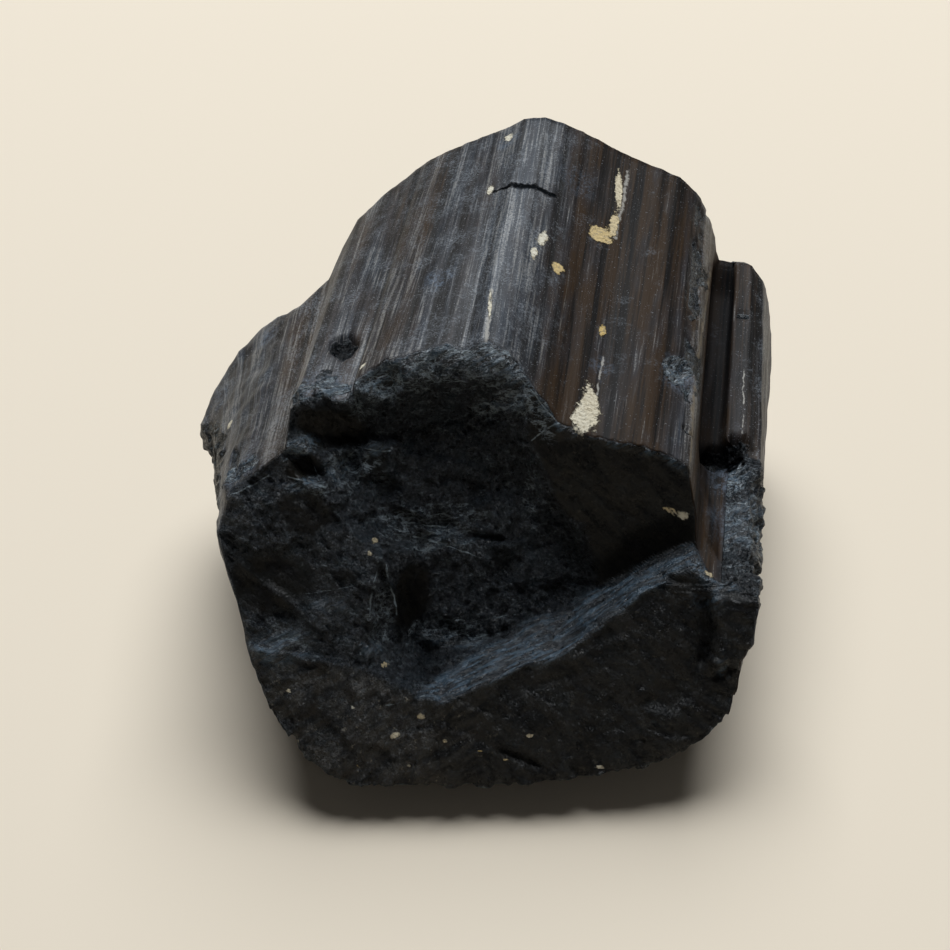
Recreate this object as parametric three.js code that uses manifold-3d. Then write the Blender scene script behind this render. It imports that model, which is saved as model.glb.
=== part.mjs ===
// A rough black tourmaline crystal, lying on its side.
// The prism's long axis runs along Y. Its flanks and roof are straight ribbed faces,
// its front end (-Y) is a slanted break with a hollow and a shelf, and its rear end is
// a second break. A shorter crystal has grown along the left flank and a slim one along
// the right flank. It all grew as one piece, so it is one closed solid.
// Millimetres, +Z up, origin under the middle of the bounding box, at table height.

import * as THREE from "three";
import { mergeVertices } from "three/addons/utils/BufferGeometryUtils.js";
import Module from "manifold-3d";

// ---------------------------------------------------------------- driving dimensions

const BREAK_LEAN = THREE.MathUtils.degToRad(42); // the front break leans back from the vertical
const BREAK_TURN = THREE.MathUtils.degToRad(6); // and is turned a little about the vertical

const HOLLOW_FLOOR = -3.3; // depth of the hollow in the front break
const ROOF_SLOPE = 0.95; // the hollow's upper wall, depth for each mm below the rim
const FACET_SLOPE = 0.24; // the smooth right facet of the hollow
const BROW_WIDTH = 2.2; // how slowly the upper wall steepens under the crown
const WALL_SLOPE = 0.8; // the hollow's left wall
const FACET_EDGE_SLOPE = 0.4; // the step from the smooth right facet down into the hollow
const SHELF_SLOPE = 1.3; // the shelf under the hollow, facing up
const KNOB_RISE = 0.7; // the knob at the shelf's right end stands proud
const CREASE_DEPTH = 0.7; // the vertical crease that parts the knob from the body
const BLOCK_RISE = 0.8; // a small block left standing in the hollow
const FRONT_EASE = 0.15; // how softly neighbouring facets of the front break run together
const REAR_EASE = 0.6; // and those of the rear break

const GROOVE_START = 0.2; // share of the length where the side groove starts
const BLADE_FRONT = 0.39; // share of the length where the slim side crystal is broken off
const BELLY_DROP = 4; // how sharply the underside falls behind the front rim

const CREST_PULL = 1; // grid points this near the shelf's two edges gather on them

const CAP_CELLS = 30; // grid cells across each broken end
const ROWS = [0, 0.05, 0.11, 0.18, 0.25, 0.32, 0.36, 0.4, 0.48, 0.58, 0.68, 0.78, 0.88, 0.95, 1];

// The prism's outline, clockwise from its lower left as seen from the front.
// front: place on the slanted front break, across and up its slope.
// rear: x, height and y on the rear break.
// sink: how far the face between them lies below a straight line; chip: depth broken
// away from the face near its front.
const OUTLINE = [
  { name: "lower_left", front: [-16.0, 9.3], rear: [-20.0, 3.0, 40] },
  { name: "left_step", front: [-17.5, 13.0], rear: [-23.5, 6.0, 35.5] },
  { name: "left_notch", front: [-18.0, 14.6], rear: [-25.2, 8.0, 33] },
  { name: "left_mid", front: [-18.7, 17.9], rear: [-26.5, 10.2, 31.8], sink: 0.4 },
  { name: "left_bulge", front: [-19.6, 20.9], rear: [-26.7, 12.0, 32.2], sink: 0.5 },
  { name: "left_tip", front: [-20.2, 23.4], rear: [-26.0, 13.0, 35.6] },
  { name: "left_lip", front: [-19.9, 25.0], rear: [-24.3, 15.0, 38.5] },
  { name: "left_upper", front: [-19.7, 26.2], rear: [-22.6, 16.2, 40.4] },
  { name: "lobe_top", front: [-18.5, 27.4], rear: [-20.8, 18.2, 40.0] },
  { name: "flank_foot", front: [-16.8, 28.5], rear: [-19.0, 19.6, 39.6] },
  { name: "flank_mid", front: [-15.0, 29.9], rear: [-17.0, 20.1, 42.8] },
  { name: "flank_step", front: [-14.6, 33.0], rear: [-16.4, 20.0, 47.6] },
  { name: "flank_top", front: [-14.0, 33.8], rear: [-15.6, 20.4, 51.0] },
  { name: "shoulder_low", front: [-11.8, 33.8], rear: [-12.9, 22.2, 53.5] },
  { name: "shoulder", front: [-9.8, 33.9], rear: [-10.2, 23.8, 55.0] },
  { name: "shoulder_nick", front: [-9.6, 35.1], rear: [-9.6, 24.2, 55.2] },
  { name: "crown_low", front: [-6.9, 36.4], rear: [-7.6, 25.1, 55.9] },
  { name: "crown_rise", front: [-5.5, 36.8], rear: [-6.7, 25.5, 56.2] },
  { name: "crown", front: [-2.4, 37.8], rear: [-4.2, 26.3, 57.0] },
  { name: "crown_dip", front: [-1.1, 37.2], rear: [-2.8, 27.1, 57.0] },
  { name: "crown_peak", front: [0.4, 37.9], rear: [-1.7, 27.7, 57.1] },
  { name: "ridge", front: [2.4, 37.2], rear: [0.1, 28.0, 57.2] },
  { name: "slope_top", front: [3.9, 35.3], rear: [1.9, 27.6, 57.0] },
  { name: "slope_mid", front: [5.6, 33.5], rear: [3.9, 26.6, 57.0] },
  { name: "slope_foot", front: [6.5, 32.1], rear: [4.8, 26.3, 56.8] },
  { name: "roof_left", front: [9.1, 30.9], rear: [7.8, 25.2, 56.0] },
  { name: "roof_mid", front: [13.0, 30.2], rear: [12.1, 24.1, 55.0] },
  { name: "roof_right", front: [15.2, 29.4], rear: [13.6, 23.2, 54.3] },
  { name: "corner", front: [16.8, 28.6], rear: [14.5, 21.7, 53.8] },
  { name: "corner_ridge", front: [17.1, 26.8], rear: [15.4, 19.4, 53.0] },
  { name: "corner_foot", front: [17.5, 24.4], rear: [15.6, 18.6, 52.0], sink: 0.3 },
  { name: "valley_left", front: [17.5, 22.4], rear: [15.9, 18.2, 51.4], sink: 1.3 },
  { name: "valley_right", front: [18.3, 20.5], rear: [17.1, 18.2, 51.2], sink: 1.3, chip: 0.2 },
  { name: "blade_left", front: [19.1, 19.4], rear: [17.5, 18.3, 51.1], chip: 1.3 },
  { name: "blade_right", front: [20.7, 18.9], rear: [18.8, 18.1, 51.0], chip: 1.4 },
  { name: "blade_outer", front: [22.2, 18.1], rear: [19.8, 17.3, 50.0], chip: 1.0 },
  { name: "right_wall", front: [22.1, 16.9], rear: [20.5, 15.4, 49.5], chip: 0.5 },
  { name: "knob_side", front: [21.9, 14.6], rear: [21.0, 12.5, 48.0] },
  { name: "knob_foot", front: [20.8, 13.1], rear: [21.0, 10.5, 47.0] },
  { name: "right_low", front: [20.6, 11.0], rear: [20.2, 7.2, 47.0] },
  { name: "right_heel", front: [19.9, 9.1], rear: [18.6, 3.6, 48.0] },
  { name: "heel", front: [17.7, 6.9], rear: [16.0, 1.0, 50.0] },
  { name: "belly_right", front: [14.6, 5.2], rear: [13.0, -0.8, 52.0] },
  { name: "belly_mid", front: [9.8, 4.3], rear: [8.0, -1.6, 53.0] },
  { name: "belly", front: [1.2, 3.3], rear: [0.0, -1.8, 54.0] },
  { name: "belly_left", front: [-5.9, 3.4], rear: [-7.0, -1.6, 53.0] },
  { name: "toe", front: [-9.8, 3.4], rear: [-12.0, -1.0, 50.0] },
  { name: "toe_left", front: [-13.5, 5.7], rear: [-16.5, 0.6, 45.0] },
];

const FRONT_CENTRE = [0, 19.5]; // on the front break
const REAR_CENTRE = [-3, 12]; // x and height on the rear break

// Lines on the front break, as across and up pairs from left to right.
const UPPER_RIM = [
  [-14, 33.8], [-9.7, 34.3], [-5.5, 36.8], [0.4, 37.9],
  [3.9, 35.3], [6.5, 32.1], [16.8, 28.6],
];
const SHELF_HEAD = [
  [-18, 14.2], [-8, 12.6], [-4.3, 10.6], [-2.8, 10.2],
  [6.7, 14.2], [10.6, 16.9], [16.9, 20.5], [19, 19],
];
const SHELF_FOOT = [
  [-18, 14.6], [-8, 13.2], [-4.3, 11.2], [2.8, 15.0],
  [9.8, 18.9], [16.9, 22.4], [19, 21],
];
// The hollow's left edge and its smooth facet's left edge, as up and across pairs from
// bottom to top.
const HOLLOW_LEFT = [[10.6, -4.3], [15, -8.1], [22, -7.6], [26, -11], [31, -13.5], [34, -12]];
const FACET_LEFT = [[19.5, 9.8], [24.4, 8.3], [27.6, 5.5], [30.7, 4.3]];

// ---------------------------------------------------------------- small helpers

const lerp = THREE.MathUtils.lerp;
const smooth = THREE.MathUtils.smoothstep;

// Height of a broken line at a place along it.
function along(line, place) {
  if (place <= line[0][0]) return line[0][1];
  for (let i = 1; i < line.length; i += 1) {
    const [x0, y0] = line[i - 1];
    const [x1, y1] = line[i];
    if (place <= x1) return lerp(y0, y1, (place - x0) / (x1 - x0));
  }
  return line[line.length - 1][1];
}

// 1 inside a range and 0 outside, with soft edges.
function within(value, low, high, edge) {
  return smooth(value, low - edge, low + edge) * (1 - smooth(value, high - edge, high + edge));
}

// The larger and the smaller of several heights, with the corner between them eased.
function softMax(ease, ...heights) {
  const top = Math.max(...heights);
  return top + ease * Math.log(heights.reduce((sum, height) => sum + Math.exp((height - top) / ease), 0));
}

function softMin(ease, ...heights) {
  return -softMax(ease, ...heights.map((height) => -height));
}

// ---------------------------------------------------------------- the two breaks

// How far the front break stands out of its own mean plane.
function frontBreak(across, up) {
  const belowRim = along(UPPER_RIM, across) - up;
  const brow = BROW_WIDTH * within(across, -8.5, 5, 1.2);
  const roof = (-ROOF_SLOPE * belowRim * belowRim) / (Math.abs(belowRim) + brow + 0.01);
  const leftOfFacet = Math.max(0, along(FACET_LEFT, up) - across);
  const facet = -FACET_SLOPE * belowRim - FACET_EDGE_SLOPE * leftOfFacet;
  const wall = -0.2 - WALL_SLOPE * (across - along(HOLLOW_LEFT, up));
  const block = BLOCK_RISE * within(across, -9, -5.9, 0.7) * within(up, 27.6, 30.3, 0.7);
  const hollow = softMax(FRONT_EASE, HOLLOW_FLOOR, roof, facet, wall) + block;
  const leftFace = 0.25 + 0.02 * (across + 16);
  const upper = softMin(FRONT_EASE, leftFace, hollow);

  const lowerLeft = 0.75 + 0.05 * (13.5 - up) + 0.03 * (across + 14);
  const lowerRight = 0.85 - 0.03 * (across - 3) + 0.01 * (up - 10);
  const lower = softMin(FRONT_EASE, lowerLeft, lowerRight);
  const shelf = lower - SHELF_SLOPE * Math.max(0, up - along(SHELF_HEAD, across));

  const crease = CREASE_DEPTH * Math.max(0, 1 - Math.abs(across - 18.1) / 0.8) * within(up, 13, 18.5, 0.6);
  const knob = KNOB_RISE * smooth(across, 18.1, 19.2) * within(up, 12.5, 18.4, 0.7);
  return softMax(FRONT_EASE, upper, shelf) - crease + knob;
}

// A point of the front break in the part's frame.
function onFrontBreak(across, up) {
  const out = frontBreak(across, up);
  const back = up * Math.sin(BREAK_LEAN) - out * Math.cos(BREAK_LEAN);
  const height = up * Math.cos(BREAK_LEAN) + out * Math.sin(BREAK_LEAN);
  const turned = new THREE.Vector2(across, back).rotateAround(new THREE.Vector2(), BREAK_TURN);
  return new THREE.Vector3(turned.x, turned.y, height);
}

// How far back the rear break lies: a main face, a face falling to the right, a steep
// wall on the left and, at its foot, the broken end of the left crystal.
function rearBreak(x, height) {
  const main = 56.4 - 0.13 * (26 - height);
  const right = 57.4 - 0.3 * (x - 1) - 0.05 * (26 - height);
  const left = 40 + 1.9 * (x + 18.5);
  const leftEnd = 38 + 0.5 * (x + 22);
  return softMin(REAR_EASE, main, right, softMax(REAR_EASE, left, leftEnd));
}

// ---------------------------------------------------------------- the outline in columns

// Spreads the outline's corners over the columns, each corner on a column of its own.
function cornerColumns(count) {
  const apart = OUTLINE.map((corner, i) => {
    const next = OUTLINE[(i + 1) % OUTLINE.length];
    const front = Math.hypot(next.front[0] - corner.front[0], next.front[1] - corner.front[1]);
    const rear = Math.hypot(next.rear[0] - corner.rear[0], next.rear[1] - corner.rear[1]);
    return front + rear;
  });
  const spare = count - OUTLINE.length;
  const total = apart.reduce((sum, length) => sum + length, 0);
  const at = [0];
  let covered = 0;
  for (let i = 0; i < OUTLINE.length; i += 1) {
    covered += apart[i];
    at.push(i + 1 + Math.round((spare * covered) / total));
  }
  return at;
}

// The outline resampled to evenly numbered columns.
function makeColumns(count) {
  const at = cornerColumns(count);
  const columns = [];
  OUTLINE.forEach((corner, i) => {
    const next = OUTLINE[(i + 1) % OUTLINE.length];
    for (let k = at[i]; k < at[i + 1]; k += 1) {
      const t = (k - at[i]) / (at[i + 1] - at[i]);
      const mix = (a, b) => a.map((value, j) => lerp(value, b[j], t));
      columns.push({
        front: mix(corner.front, next.front),
        rear: mix(corner.rear, next.rear),
        sink: lerp(corner.sink ?? 0, next.sink ?? 0, t),
        chip: lerp(corner.chip ?? 0, next.chip ?? 0, t),
      });
    }
  });
  return columns;
}

// ---------------------------------------------------------------- the prism's faces

// A point on the flank of one column, at a share of the way from front to rear.
function onFlank(column, outward, share) {
  const front = onFrontBreak(...column.front);
  const rear = new THREE.Vector3(column.rear[0], column.rear[2], column.rear[1]);
  const point = front.clone().lerp(rear, share);

  const belly = 1 - smooth(front.z, 3, 8);
  const fallen = 1 - (1 - share) ** BELLY_DROP;
  point.z = lerp(front.z, rear.z, lerp(share, fallen, belly));

  const groove = column.sink * within(share, GROOVE_START, 0.95, 0.05);
  const chip = column.chip * within(share, 0.08, BLADE_FRONT - 0.02, 0.03);
  point.x -= outward[0] * (groove + chip);
  point.z -= outward[1] * (groove + chip);
  return point;
}

// The direction out of the section at each column, as x and height.
function outwardAt(columns, index) {
  const before = columns[(index + columns.length - 1) % columns.length].rear;
  const after = columns[(index + 1) % columns.length].rear;
  const across = after[0] - before[0];
  const rise = after[1] - before[1];
  const length = Math.hypot(across, rise);
  return [-rise / length, across / length];
}

// ---------------------------------------------------------------- the closed surface

// Place of a cap's grid point: its ring (0 at the centre, 1 at the rim) and the column
// that its ray meets, going once round the square.
function ringAndColumn(i, j) {
  const a = (2 * i) / CAP_CELLS - 1;
  const b = (2 * j) / CAP_CELLS - 1;
  const ring = Math.max(Math.abs(a), Math.abs(b));
  if (ring === 0) return [0, 0];
  const p = a / ring;
  const q = b / ring;
  const half = CAP_CELLS / 2;
  if (q === -1) return [ring, (1 + p) * half];
  if (p === 1) return [ring, CAP_CELLS + (1 + q) * half];
  if (q === 1) return [ring, 2 * CAP_CELLS + (1 - p) * half];
  return [ring, 3 * CAP_CELLS + (1 - q) * half];
}

// A value of the outline at a column number that may lie between two columns.
function outlineAt(columns, key, column) {
  const low = Math.floor(column) % columns.length;
  const high = (low + 1) % columns.length;
  const t = column - Math.floor(column);
  return columns[low][key].map((value, j) => lerp(value, columns[high][key][j], t));
}

// Moves a height on the front break towards the shelf's edges, so that they stay crisp.
function gather(across, up) {
  for (const edge of [SHELF_HEAD, SHELF_FOOT]) {
    const gap = up - along(edge, across);
    if (Math.abs(gap) < CREST_PULL) return up - gap + gap ** 3 / CREST_PULL ** 2;
  }
  return up;
}

function frontCapPoint(columns, ring, column) {
  const rim = outlineAt(columns, "front", column);
  const across = lerp(FRONT_CENTRE[0], rim[0], ring);
  const up = lerp(FRONT_CENTRE[1], rim[1], ring);
  return onFrontBreak(across, gather(across, up));
}

function rearCapPoint(columns, ring, column) {
  const rim = outlineAt(columns, "rear", column);
  const x = lerp(REAR_CENTRE[0], rim[0], ring);
  const height = lerp(REAR_CENTRE[1], rim[1], ring);
  const y = rearBreak(x, height) + ring ** 3 * (rim[2] - rearBreak(rim[0], rim[1]));
  return new THREE.Vector3(x, y, height);
}

// Stitches the flank rows and the two capped ends into one surface.
function makeSurface() {
  const columns = makeColumns(4 * CAP_CELLS);
  const count = columns.length;
  const points = [];
  const triangles = [];
  for (const share of ROWS) {
    columns.forEach((column, k) => points.push(onFlank(column, outwardAt(columns, k), share)));
  }
  // Each quad is split along its shorter diagonal, which follows the creases.
  const quad = (a, b, c, d) => {
    const alongAC = points[a].distanceTo(points[c]) <= points[b].distanceTo(points[d]);
    triangles.push(...(alongAC ? [a, b, c, a, c, d] : [a, b, d, b, c, d]));
  };
  for (let row = 0; row < ROWS.length - 1; row += 1) {
    for (let k = 0; k < count; k += 1) {
      const next = (k + 1) % count;
      quad(row * count + k, row * count + next, (row + 1) * count + next, (row + 1) * count + k);
    }
  }
  const addCap = (rimRow, pointOf, flip) => {
    const grid = [];
    for (let i = 0; i <= CAP_CELLS; i += 1) {
      grid.push([]);
      for (let j = 0; j <= CAP_CELLS; j += 1) {
        const [ring, column] = ringAndColumn(i, j);
        if (ring === 1) {
          grid[i].push(rimRow * count + (Math.round(column) % count));
        } else {
          grid[i].push(points.push(pointOf(columns, ring, column)) - 1);
        }
      }
    }
    for (let i = 0; i < CAP_CELLS; i += 1) {
      for (let j = 0; j < CAP_CELLS; j += 1) {
        const corners = [grid[i][j], grid[i + 1][j], grid[i + 1][j + 1], grid[i][j + 1]];
        quad(...(flip ? corners.reverse() : corners));
      }
    }
  };
  addCap(0, frontCapPoint, true);
  addCap(ROWS.length - 1, rearCapPoint, false);

  const geometry = new THREE.BufferGeometry();
  const places = new Float32Array(points.flatMap((point) => point.toArray()));
  geometry.setAttribute("position", new THREE.BufferAttribute(places, 3));
  geometry.setIndex(triangles);
  return geometry;
}

// ---------------------------------------------------------------- the flat base

const wasm = await Module();
wasm.setup();

function toSolid(geometry) {
  const bare = geometry.clone();
  bare.deleteAttribute("normal");
  bare.deleteAttribute("uv");
  const merged = mergeVertices(bare);
  return new wasm.Manifold(
    new wasm.Mesh({
      numProp: 3,
      vertProperties: new Float32Array(merged.attributes.position.array),
      triVerts: new Uint32Array(merged.index.array),
    }),
  );
}

function toGeometry(solid) {
  const mesh = solid.getMesh();
  const geometry = new THREE.BufferGeometry();
  geometry.setAttribute("position", new THREE.BufferAttribute(Float32Array.from(mesh.vertProperties), 3));
  geometry.setIndex(new THREE.BufferAttribute(Uint32Array.from(mesh.triVerts), 1));
  return geometry;
}

// Everything below table height is cut off, which leaves the flat face it lies on.
const table = new THREE.BoxGeometry(200, 200, 50).translate(0, 0, -25);
const lying = toGeometry(toSolid(makeSurface()).subtract(toSolid(table)));

lying.computeBoundingBox();
const middle = lying.boundingBox.getCenter(new THREE.Vector3());
lying.translate(-middle.x, -middle.y, 0);
lying.computeVertexNormals();

const schorl = new THREE.MeshStandardMaterial({ color: 0x2b2b2c, roughness: 0.5, metalness: 0 });
const crystal = new THREE.Mesh(lying, schorl);
crystal.name = "tourmaline_crystal";

const part = new THREE.Group();
part.add(crystal);

export default part;
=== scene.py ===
"""A rough black tourmaline crystal lying on a plain pale table."""

import math

import bpy
import numpy as np
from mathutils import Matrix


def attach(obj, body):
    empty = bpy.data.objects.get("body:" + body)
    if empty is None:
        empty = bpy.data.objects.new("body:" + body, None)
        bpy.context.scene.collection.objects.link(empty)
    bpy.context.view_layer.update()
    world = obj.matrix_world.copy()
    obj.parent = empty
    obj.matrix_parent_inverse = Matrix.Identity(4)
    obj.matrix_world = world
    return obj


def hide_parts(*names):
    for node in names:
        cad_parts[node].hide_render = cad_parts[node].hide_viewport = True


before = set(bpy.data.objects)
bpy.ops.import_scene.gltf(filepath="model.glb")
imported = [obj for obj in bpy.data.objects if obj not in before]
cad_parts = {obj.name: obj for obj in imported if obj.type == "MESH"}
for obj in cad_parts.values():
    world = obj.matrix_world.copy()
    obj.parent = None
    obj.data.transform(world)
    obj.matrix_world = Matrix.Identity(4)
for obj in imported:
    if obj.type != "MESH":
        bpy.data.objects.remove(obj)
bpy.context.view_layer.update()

# ------------------------------------------------------------------ sizes, in millimetres
# The stone's own measures are taken before its middle is moved over the origin. x runs to
# the right, y along the prism from front to rear, and height is above the table.

MIDDLE = np.array([-2.85, 28.79, 0.0])
METRES = 0.001

LEAN = math.radians(42)  # the front break leans back from the vertical
TURN = math.radians(6)  # and is turned a little about the vertical

HOLLOW_FLOOR = -3.3  # in front of the break's mean plane, so negative is deep
ROOF_SLOPE = 0.95
BROW_WIDTH = 2.2
FACET_SLOPE = 0.24
WALL_SLOPE = 0.8
FACET_EDGE_SLOPE = 0.4
SHELF_SLOPE = 1.3
KNOB_RISE = 0.7
KNOB_LEFT = 18.1
CREASE_DEPTH = 0.7
CREASE_HALF_WIDTH = 0.8
BLOCK_RISE = 0.8
FRONT_EASE = 0.1  # how far the corners between the breaks' faces are eased
REAR_EASE = 0.4
GROOVE_START = 0.2  # shares of the way along the prism
GROOVE_END = 0.95
CHIP_START = 0.08
BLADE_FRONT = 0.39  # where the slim crystal's unbroken part begins
BELLY_DROP = 4  # how early the belly comes down to the table
RIM_BLEND = 16  # how steeply the front break's surface meets its chipped rim
RIM_FADE = 40  # one over the share of a broken end, in from its rim, where its relief fades in
RIB_STRETCH = 0.03  # share of the way along the prism that the ribs' noise sees

CELLS = 152  # grid cells across each broken end
ROWS = 88  # rows from the front rim to the rear rim
TINY = 1e-9

FRONT_DEPTH = 5  # how far from its mean plane the front break lies at most

# The outline, clockwise from the lower left as seen from the front: place on the front
# break (across, up), place on the rear break (x, height, y), depth of the lengthwise groove
# there, and how far the slim crystal's broken front is set in.
OUTLINE = np.array([
    (-16.0, 9.3, -20.0, 3.0, 40.0, 0.0, 0.0),  # lower left
    (-17.5, 13.0, -23.5, 6.0, 35.5, 0.0, 0.0),
    (-18.0, 14.6, -25.2, 8.0, 33.0, 0.0, 0.0),
    (-18.7, 17.9, -26.5, 10.2, 31.8, 0.4, 0.0),
    (-19.6, 20.9, -26.7, 12.0, 32.2, 0.5, 0.0),
    (-20.2, 23.4, -26.0, 13.0, 35.6, 0.0, 0.0),
    (-19.9, 25.0, -24.3, 15.0, 38.5, 0.0, 0.0),
    (-19.7, 26.2, -22.6, 16.2, 40.4, 0.0, 0.0),
    (-18.5, 27.4, -20.8, 18.2, 40.0, 0.0, 0.0),
    (-16.8, 28.5, -19.0, 19.6, 39.6, 0.0, 0.0),  # foot of the left flank
    (-15.0, 29.9, -17.0, 20.1, 42.8, 0.0, 0.0),
    (-14.6, 33.0, -16.4, 20.0, 47.6, 0.0, 0.0),
    (-14.0, 33.8, -15.6, 20.4, 51.0, 0.0, 0.0),
    (-11.8, 33.8, -12.9, 22.2, 53.5, 0.0, 0.0),
    (-9.8, 33.9, -10.2, 23.8, 55.0, 0.0, 0.0),
    (-9.6, 35.1, -9.6, 24.2, 55.2, 0.0, 0.0),
    (-6.9, 36.4, -7.6, 25.1, 55.9, 0.0, 0.0),
    (-5.5, 36.8, -6.7, 25.5, 56.2, 0.0, 0.0),
    (-2.4, 37.8, -4.2, 26.3, 57.0, 0.0, 0.0),  # crown
    (-1.1, 37.2, -2.8, 27.1, 57.0, 0.0, 0.0),
    (0.4, 37.9, -1.7, 27.7, 57.1, 0.0, 0.0),
    (2.4, 37.2, 0.1, 28.0, 57.2, 0.0, 0.0),
    (3.9, 35.3, 1.9, 27.6, 57.0, 0.0, 0.0),
    (5.6, 33.5, 3.9, 26.6, 57.0, 0.0, 0.0),
    (6.5, 32.1, 4.8, 26.3, 56.8, 0.0, 0.0),
    (9.1, 30.9, 7.8, 25.2, 56.0, 0.0, 0.0),  # right part of the roof
    (13.0, 30.2, 12.1, 24.1, 55.0, 0.0, 0.0),
    (15.2, 29.4, 13.6, 23.2, 54.3, 0.0, 0.0),
    (16.8, 28.6, 14.5, 21.7, 53.8, 0.0, 0.0),
    (17.1, 26.8, 15.4, 19.4, 53.0, 0.0, 0.0),
    (17.5, 24.4, 15.6, 18.6, 52.0, 0.3, 0.0),
    (17.5, 22.4, 15.9, 18.2, 51.4, 1.3, 0.0),  # valley before the slim crystal
    (18.3, 20.5, 17.1, 18.2, 51.2, 1.3, 0.2),
    (19.1, 19.4, 17.5, 18.3, 51.1, 0.0, 1.3),
    (20.7, 18.9, 18.8, 18.1, 51.0, 0.0, 1.4),
    (22.2, 18.1, 19.8, 17.3, 50.0, 0.0, 1.0),
    (22.1, 16.9, 20.5, 15.4, 49.5, 0.0, 0.5),
    (21.9, 14.6, 21.0, 12.5, 48.0, 0.0, 0.0),
    (20.8, 13.1, 21.0, 10.5, 47.0, 0.0, 0.0),
    (20.6, 11.0, 20.2, 7.2, 47.0, 0.0, 0.0),
    (19.9, 9.1, 18.6, 3.6, 48.0, 0.0, 0.0),
    (17.7, 6.9, 16.0, 1.0, 50.0, 0.0, 0.0),
    (14.6, 5.2, 13.0, -0.8, 52.0, 0.0, 0.0),  # belly
    (9.8, 4.3, 8.0, -1.6, 53.0, 0.0, 0.0),
    (1.2, 3.3, 0.0, -1.8, 54.0, 0.0, 0.0),
    (-5.9, 3.4, -7.0, -1.6, 53.0, 0.0, 0.0),
    (-9.8, 3.4, -12.0, -1.0, 50.0, 0.0, 0.0),
    (-13.5, 5.7, -16.5, 0.6, 45.0, 0.0, 0.0),
])

FRONT_CENTRE = np.array([0.0, 19.5])
REAR_CENTRE = np.array([-3.0, 12.0])

UPPER_RIM = [(-14, 33.8), (-9.7, 34.3), (-5.5, 36.8), (0.4, 37.9), (3.9, 35.3), (6.5, 32.1), (16.8, 28.6)]
SHELF_HEAD = [(-18, 14.2), (-8, 12.6), (-4.3, 10.6), (-2.8, 10.2), (6.7, 14.2), (10.6, 16.9), (16.9, 20.5)]
SHELF_HEAD += [(19, 19)]
SHELF_FOOT = [(-18, 14.6), (-8, 13.2), (-4.3, 11.2), (2.8, 15.0), (9.8, 18.9), (16.9, 22.4), (19, 21)]
HOLLOW_LEFT = [(10.6, -4.3), (15, -8.1), (22, -7.6), (26, -11), (31, -13.5), (34, -12)]
FACET_LEFT = [(19.5, 9.8), (24.4, 8.3), (27.6, 5.5), (30.7, 4.3)]

# Directions of a dent's five flat sides.
DENT_SIDES = [(1.0, 0.1), (0.25, 1.0), (-0.8, 0.55), (-0.6, -0.8), (0.5, -0.95)]

# Dents in the front break: across, up, half width, half height, turn in degrees, depth.
FRONT_DENTS = [
    (-11.6, 31.7, 2.9, 1.9, -6, 0.8),
    (-13.2, 28.4, 1.7, 0.75, -38, 1.2),
    (-7.3, 35.2, 1.6, 1.1, 5, 0.9),
    (-4.4, 14.0, 1.1, 1.0, 0, 0.8),
    (-10.6, 24.6, 1.6, 1.1, 20, 0.5),
    (-16.2, 20.3, 2.2, 1.7, 35, 0.4),
    (-9.9, 28.8, 0.9, 1.2, 0, 0.6),
    (2.5, 20.6, 2.2, 1.2, 30, 0.5),
    (6.4, 18.6, 1.6, 0.9, 30, 0.4),
    (0.5, 27.5, 1.8, 2.2, -20, 0.5),
    (15.4, 10.6, 2.0, 1.3, 10, 0.35),
    (19.5, 12.4, 0.9, 0.7, 30, 0.5),
    (-12.6, 8.4, 1.5, 1.0, -30, 0.35),
]

# Smooth spots in the front break: across, up, half width, half height, how smooth.
SMOOTH_SPOTS = [
    (-11.6, 31.5, 2.9, 2.0, 0.8),
    (-13.2, 28.4, 1.6, 1.0, 0.8),
    (-7.3, 35.2, 1.6, 1.1, 0.7),
    (-4.9, 18.6, 1.7, 2.7, 0.75),
    (-16.2, 19.6, 4.2, 2.6, 0.7),
    (-13.6, 25.0, 2.4, 1.7, 0.55),
    (-7.6, 28.9, 1.2, 1.1, 0.6),
]

# Places where painted highlights on the crests crowd: across, up, half width, half height, how thick.
CREST_SPOTS = [
    (-3.7, 24.0, 4.5, 2.2, 0.6),
    (-13.8, 30.0, 1.6, 1.0, 1.0),
    (2.6, 33.2, 3.0, 1.2, 0.6),
    (-12.6, 27.0, 1.6, 0.7, 0.9),
    (-15.8, 14.4, 3.0, 1.2, 0.8),
    (-9.0, 28.5, 2.5, 1.8, 0.5),
    (-7.4, 17.5, 1.2, 3.0, 0.5),
    (-2.0, 15.5, 4.0, 1.6, 0.5),
    (4.6, 26.6, 1.0, 3.0, 0.3),
]

# Spots of painted light, bluish and fibrous like the shelf, on lit places of the front break: across, up,
# half width, half height, how strong.
PAINTED_LIGHT_SPOTS = [
    (-15.2, 14.4, 3.0, 1.7, 0.9),
    (-13.6, 30.1, 1.4, 1.0, 1.0),
    (-10.4, 28.1, 1.2, 0.8, 0.7),
    (-8.0, 29.7, 1.4, 0.5, 0.8),
    (-8.0, 35.3, 0.9, 0.9, 0.8),
    (-13.4, 27.2, 1.8, 0.4, 1.0),
    (-2.5, 23.4, 3.2, 1.1, 0.4),
    (-11.5, 17.4, 1.7, 0.7, 0.6),
    (-8.0, 14.5, 1.0, 0.8, 0.6),
    (3.0, 33.6, 2.6, 0.9, 0.5),
    (-1.4, 14.4, 3.0, 0.7, 0.5),
    (18.6, 18.0, 1.6, 0.8, 0.5),
    (19.6, 13.0, 0.5, 1.2, 0.5),
]

# Spots of painted shade in recesses and creases of the front break: across, up, half width, half height,
# turn in degrees, how dark.
SHADE_SPOTS = [
    (13.3, 22.3, 5.0, 1.7, 26, 0.75),
    (-4.8, 17.6, 1.6, 2.6, 0, 0.5),
    (-3.4, 12.9, 1.2, 1.0, 0, 0.5),
    (18.2, 15.6, 0.5, 3.0, 0, 0.6),
    (8.2, 16.2, 2.6, 0.35, 29, 0.5),
]

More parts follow.
